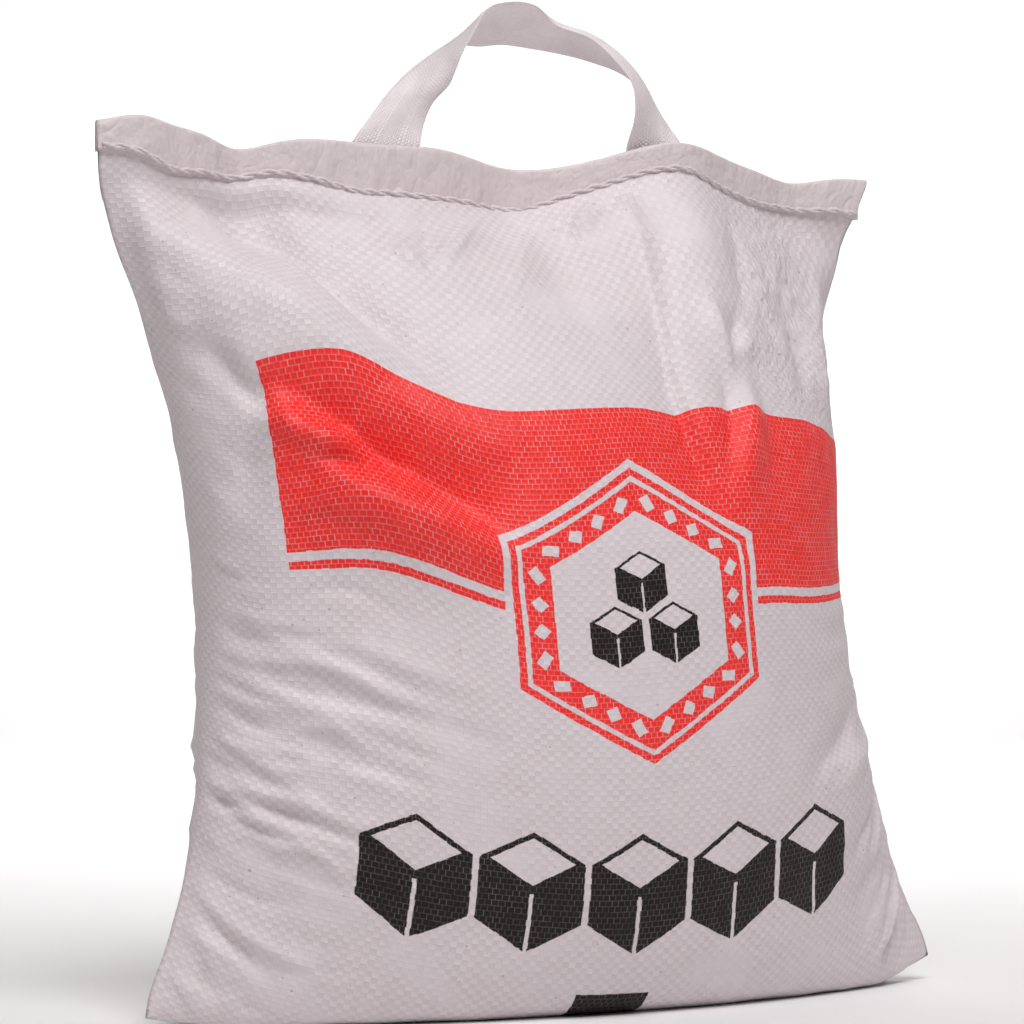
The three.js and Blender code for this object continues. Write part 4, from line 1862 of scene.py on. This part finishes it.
@dataclass
class Stitching:
    """The two cords along the lower edge of the hem band, one on each face."""

    shape: SackShape
    step: float = 0.9
    away: float = 0.35           # how far the cord's middle stands off the band
    up: float = 0.5              # how far it runs above the band's foot line
    half_length: float = 152.4
    wander: float = 0.3          # how far the line of stitches wanders up and down
    wander_keys: tuple[float, float, float] = (-170.0, 180.0, 14.0)     # first, last and pitch
    wander_seed: int = 40
    cord_seed: int = 50

    def cord(self, name: str, side: Side, node: str) -> bpy.types.Object:
        """Makes the cord of one face.

        Args:
            name: Name of the piece.
            side: The face that it is on.
            node: The CAD node that it replaces.

        Returns:
            The new object.
        """
        shape = self.shape
        x = np.arange(-self.half_length, self.half_length + self.step, self.step)
        draw = np.random.default_rng(self.wander_seed + side.value)
        keys = np.arange(*self.wander_keys)
        wander = np.interp(x, keys, draw.normal(0, self.wander, len(keys)))
        off = side.value * (shape.hem_thickness / 2 + self.away)
        line = shape.band(x + shape.lean_side, off, shape.body_top + self.up + wander + shape.hem_line(x))
        cord = StitchCord(line, self.cord_seed + side.value)
        strands = [cord.strand_points(phase) for phase in (0.0, math.pi)]
        piece = joined(name, [laid_out(name, shape.in_frame(p), flat, caps=True) for p, flat in strands])
        piece.data.materials.append(SpunThread().build())
        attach(piece, "root")
        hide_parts(node)
        return piece

    def build(self) -> list[bpy.types.Object]:
        """Makes both cords."""
        return [self.cord("front_stitching", Side.FRONT, "front_stitch"),
                self.cord("back_stitching", Side.BACK, "back_stitch")]


@dataclass(frozen=True)
class Rung:
    """A crossing of the strap: its outer edge, its inner edge and how much it arches between them."""

    outer: Place
    inner: Place
    arch: float = 0.0


@dataclass
class Handle:
    """The webbing strap sewn behind the hem, which twists and gathers as it rises."""

    shape: SackShape
    thickness: float = 1.2
    foot: float = 286.0
    foot_slant: float = 0.35     # how far the foot goes on with the first rung's slant
    foot_back: float = 0.1
    spacing: float = 1.5
    facets: int = 22
    edge_power: float = 0.55     # lower gives a squarer section
    face_power: float = 0.7
    map_width: float = 27.0
    name: str = "webbing_handle"
    rungs: tuple[Rung, ...] = (
        Rung((-65.4, 30.9, 294.9), (-38.6, 31.2, 294.9)),
        Rung((-59.6, 31.2, 302.9), (-36.4, 32.6, 303.4), 0.5),
        Rung((-52.5, 34.0, 310.7), (-33.4, 31.0, 311.3), 1.0),
        Rung((-45.0, 38.0, 317.7), (-30.1, 26.0, 316.5), 1.0),
        Rung((-35.2, 41.0, 325.5), (-29.1, 22.0, 322.3), 1.0),
        Rung((-24.7, 43.0, 331.9), (-27.8, 20.0, 327.3), 2.0),
        Rung((-15.4, 44.0, 334.2), (-24.0, 19.0, 334.8), 3.0),
        Rung((-8.1, 44.0, 334.5), (-18.9, 19.0, 343.2), 2.0),
        Rung((0.0, 44.0, 335.8), (-10.0, 20.0, 346.7), 1.0),
        Rung((11.7, 43.0, 335.2), (1.6, 20.0, 346.2), 1.5),
        Rung((24.3, 42.0, 333.9), (8.7, 19.0, 339.9), 4.5),
        Rung((36.2, 41.0, 331.8), (21.4, 17.0, 336.1), 4.5),
        Rung((47.6, 39.0, 328.1), (30.8, 15.0, 328.1), 4.0),
        Rung((53.8, 36.0, 322.7), (37.0, 15.0, 321.4), 3.0),
        Rung((57.9, 33.0, 316.4), (39.2, 16.0, 315.3), 2.0),
        Rung((60.3, 28.0, 309.4), (40.6, 19.0, 308.7), 1.0),
        Rung((63.2, 21.3, 299.8), (41.5, 26.0, 299.6)),
    )

    def foot_rung(self, first: Rung, second: Rung) -> Rung:
        """Carries one end of the strap down behind the hem band.

        Args:
            first: The strap's end rung.
            second: The one next to it.

        Returns:
            The rung at the strap's foot.
        """
        def below(top: Place, next_up: Place) -> Place:
            """Goes on from one edge's end point, against its way up."""
            return top[0] - (next_up[0] - top[0]) * self.foot_slant, top[1] + self.foot_back, self.foot
        return Rung(below(first.outer, second.outer), below(first.inner, second.inner))

    def surface(self) -> tuple[np.ndarray, np.ndarray]:
        """Works out the strap's skin.

        Returns:
            Its points in millimetres and their places on the flat strap.
        """
        start = self.foot_rung(self.rungs[0], self.rungs[1])
        end = self.foot_rung(self.rungs[-1], self.rungs[-2])
        rows = [(*r.outer, *r.inner, r.arch) for r in (start, *self.rungs, end)]
        middles = [[(row[i] + row[i + 3]) / 2 for i in range(3)] for row in rows]
        line = smooth_line([(m[0], m[2], *row) for m, row in zip(middles, rows)], self.spacing)[:, 2:]
        outer, inner, arch = line[:, 0:3], line[:, 3:6], line[:, 6]
        middle = (outer + inner) / 2
        run = np.gradient(middle, axis=0)
        across = inner - outer
        normal = np.cross(across, run)
        normal /= np.linalg.norm(normal, axis=1)[:, None]
        around = np.linspace(0, math.tau, self.facets + 1)
        flatness = rounded(np.cos(around), self.edge_power)
        skin = rounded(np.sin(around), self.face_power)
        lift = arch[:, None] * (1 - flatness ** 2)[None, :] + skin[None, :] * self.thickness / 2
        points = (middle[:, None, :] + across[:, None, :] * flatness[None, :, None] / 2
                  + normal[:, None, :] * lift[..., None])
        length = np.concatenate([[0], np.cumsum(np.linalg.norm(np.diff(middle, axis=0), axis=1))])
        flat = np.stack(np.broadcast_arrays(flatness[None, :] * self.map_width / 2, length[:, None]), axis=-1)
        return points, flat

    def build(self) -> bpy.types.Object:
        """Makes the strap.

        Returns:
            The piece.
        """
        points, flat = self.surface()
        piece = laid_out(self.name, self.shape.in_frame(points), flat, caps=True)
        subdivided(piece, 1)
        piece.data.materials.append(Webbing().build())
        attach(piece, "root")
        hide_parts("handle")
        return piece


@dataclass
class BaseHem:
    """The folded and sewn hem that is tucked flat under the sack."""

    shape: SackShape
    steps: int = 120
    facets: int = 24
    edge_power: float = 0.4      # lower gives a squarer section
    face_power: float = 0.6
    stitch: float = 0.16         # how deep the thread draws it in, as a share of its height
    stitch_pitch: float = 8.5
    stitch_reach: float = 2.2
    bend: float = 0.25
    bend_pitch: float = 17.0
    map_start: float = 40.0      # where it lies up the tape's pattern
    name: str = "base_hem"

    def build(self) -> bpy.types.Object:
        """Makes the hem: a flat fold with rounded edges and a line of thread along it.

        Returns:
            The piece.
        """
        low, high = self.shape.base_seam
        middle, size = (low + high) / 2, high - low
        around = np.linspace(0, math.tau, self.facets + 1)
        wide = rounded(np.cos(around), self.edge_power) * size[1] / 2
        tall = rounded(np.sin(around), self.face_power) * size[2] / 2
        x = np.linspace(low[0], high[0], self.steps + 1)
        along = np.abs(np.sin(x / self.stitch_pitch * math.pi))[:, None]
        drawn_in = self.stitch * along * np.exp(-((wide / self.stitch_reach) ** 2))[None, :]
        y = middle[1] + wide[None, :] + self.bend * np.sin(x / self.bend_pitch)[:, None]
        z = middle[2] + tall[None, :] * (1 - drawn_in)
        points = np.stack(np.broadcast_arrays(x[:, None], y, z), axis=-1) * MM
        flat = np.stack(np.broadcast_arrays(x[:, None], wide[None, :] + self.map_start), axis=-1)
        piece = laid_out(self.name, points, flat, caps=True)
        piece.data.materials.append(PaperTape().build())
        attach(piece, "root")
        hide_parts("bottom_hem")
        return piece


# ---------------------------------------------------------------------------
# The studio
# ---------------------------------------------------------------------------

@dataclass(frozen=True)
class SoftLight:
    """A square soft light that faces the sack."""

    name: str
    azimuth: float
    elevation: float
    distance: float
    size: float
    power: float
    aim: Place = (0, 0, 0.17)
    beam: float = 180.0          # how wide it shines, in degrees

    def build(self) -> None:
        """Adds the light."""
        data = bpy.data.lights.new(self.name, "AREA")
        data.size = self.size
        data.energy = self.power
        data.spread = math.radians(self.beam)
        holder = bpy.data.objects.new(self.name, data)
        bpy.context.scene.collection.objects.link(holder)
        holder.location = Vector(direction(self.azimuth, self.elevation)) * self.distance
        holder.rotation_euler = (Vector(self.aim) - holder.location).to_track_quat("-Z", "Y").to_euler()


@dataclass
class Studio:
    """The pale floor, the soft lights and the camera."""

    shape: SackShape
    azimuth: float = -29.0
    elevation: float = -1.63
    distance: float = 1150.0
    target: Place = (-19.5, 0.0, 168.0)
    focal_pixels: float = 3375.0
    image_width: int = 1024
    sensor: float = 36.0
    nearest: float = 0.05
    floor_radius: float = 2.4
    floor_sides: int = 96
    floor_tint: Colour = colour(247, 246, 246)
    floor_roughness: float = 0.9
    wall_bend: float = 1.0
    wall_bend_steps: int = 10
    wall_height: float = 2.0
    sky: float = 0.10
    sky_tint: Colour = (1, 0.9, 0.89, 1)
    lights: tuple[SoftLight, ...] = (
        SoftLight("key", -18, 60, 1.8, 1.0, 22),
        SoftLight("backdrop", 151, 45, 2.0, 1.6, 14, (1.5, 2.7, 0.4), 80),
        SoftLight("floor", 151, 50, 1.9, 1.4, 8, (0.59, 1.07, 0.0), 80),
    )

    def camera(self) -> None:
        """Places the camera."""
        data = bpy.data.cameras.new("camera")
        data.sensor_width = self.sensor
        data.lens = self.focal_pixels / self.image_width * self.sensor
        data.clip_start = self.nearest
        holder = bpy.data.objects.new("camera", data)
        bpy.context.scene.collection.objects.link(holder)
        back = direction(self.azimuth, self.elevation)
        holder.location = self.shape.in_frame(np.array(self.target) + back * self.distance)
        holder.rotation_euler = Vector(-back).to_track_quat("-Z", "Y").to_euler()
        bpy.context.scene.camera = holder

    def floor(self) -> None:
        """Makes the floor: a wide disc whose rim turns up into a round wall."""
        bm = bmesh.new()
        bmesh.ops.create_circle(bm, cap_ends=True, radius=self.floor_radius, segments=self.floor_sides)
        rim = [e for e in bm.edges if e.is_boundary]
        for step in range(1, self.wall_bend_steps + 2):
            made = bmesh.ops.extrude_edge_only(bm, edges=rim)["geom"]
            rim = [g for g in made if isinstance(g, bmesh.types.BMEdge)]
            angle = math.radians(90 / self.wall_bend_steps * min(step, self.wall_bend_steps))
            radius = self.floor_radius + self.wall_bend * math.sin(angle)
            straight = self.wall_height if step > self.wall_bend_steps else 0
            for vertex in (g for g in made if isinstance(g, bmesh.types.BMVert)):
                vertex.co = Vector((vertex.co.x, vertex.co.y, 0)).normalized() * radius
                vertex.co.z = self.wall_bend * (1 - math.cos(angle)) + straight
        bmesh.ops.recalc_face_normals(bm, faces=bm.faces)
        mesh = bpy.data.meshes.new("floor")
        bm.to_mesh(mesh)
        bm.free()
        floor = shown("floor", mesh)
        kit = NodeKit("floor")
        mesh.materials.append(kit.dress(Base_Color=self.floor_tint, Roughness=self.floor_roughness))

    def build(self) -> None:
        """Sets everything up."""
        self.camera()
        self.floor()
        for light in self.lights:
            light.build()
        world = bpy.data.worlds.new("studio")
        world.use_nodes = True
        background = next(n for n in world.node_tree.nodes if n.type == "BACKGROUND")
        background.inputs["Color"].default_value = self.sky_tint
        background.inputs["Strength"].default_value = self.sky
        bpy.context.scene.world = world
        bpy.context.scene.view_settings.view_transform = "Standard"


def main() -> None:
    """Builds the studio and the sack."""
    logging.basicConfig(level=logging.INFO, format="%(name)s: %(message)s")
    shape = SackShape()
    Studio(shape).build()
    pieces = [SackBody(shape).build(), HemBand(shape).build(), *Stitching(shape).build(),
              Handle(shape).build(), BaseHem(shape).build()]
    for piece in pieces:
        piece.data.calc_loop_triangles()
        LOG.info("%s: %d triangles", piece.name, len(piece.data.loop_triangles))


if __name__ == "__main__":
    main()
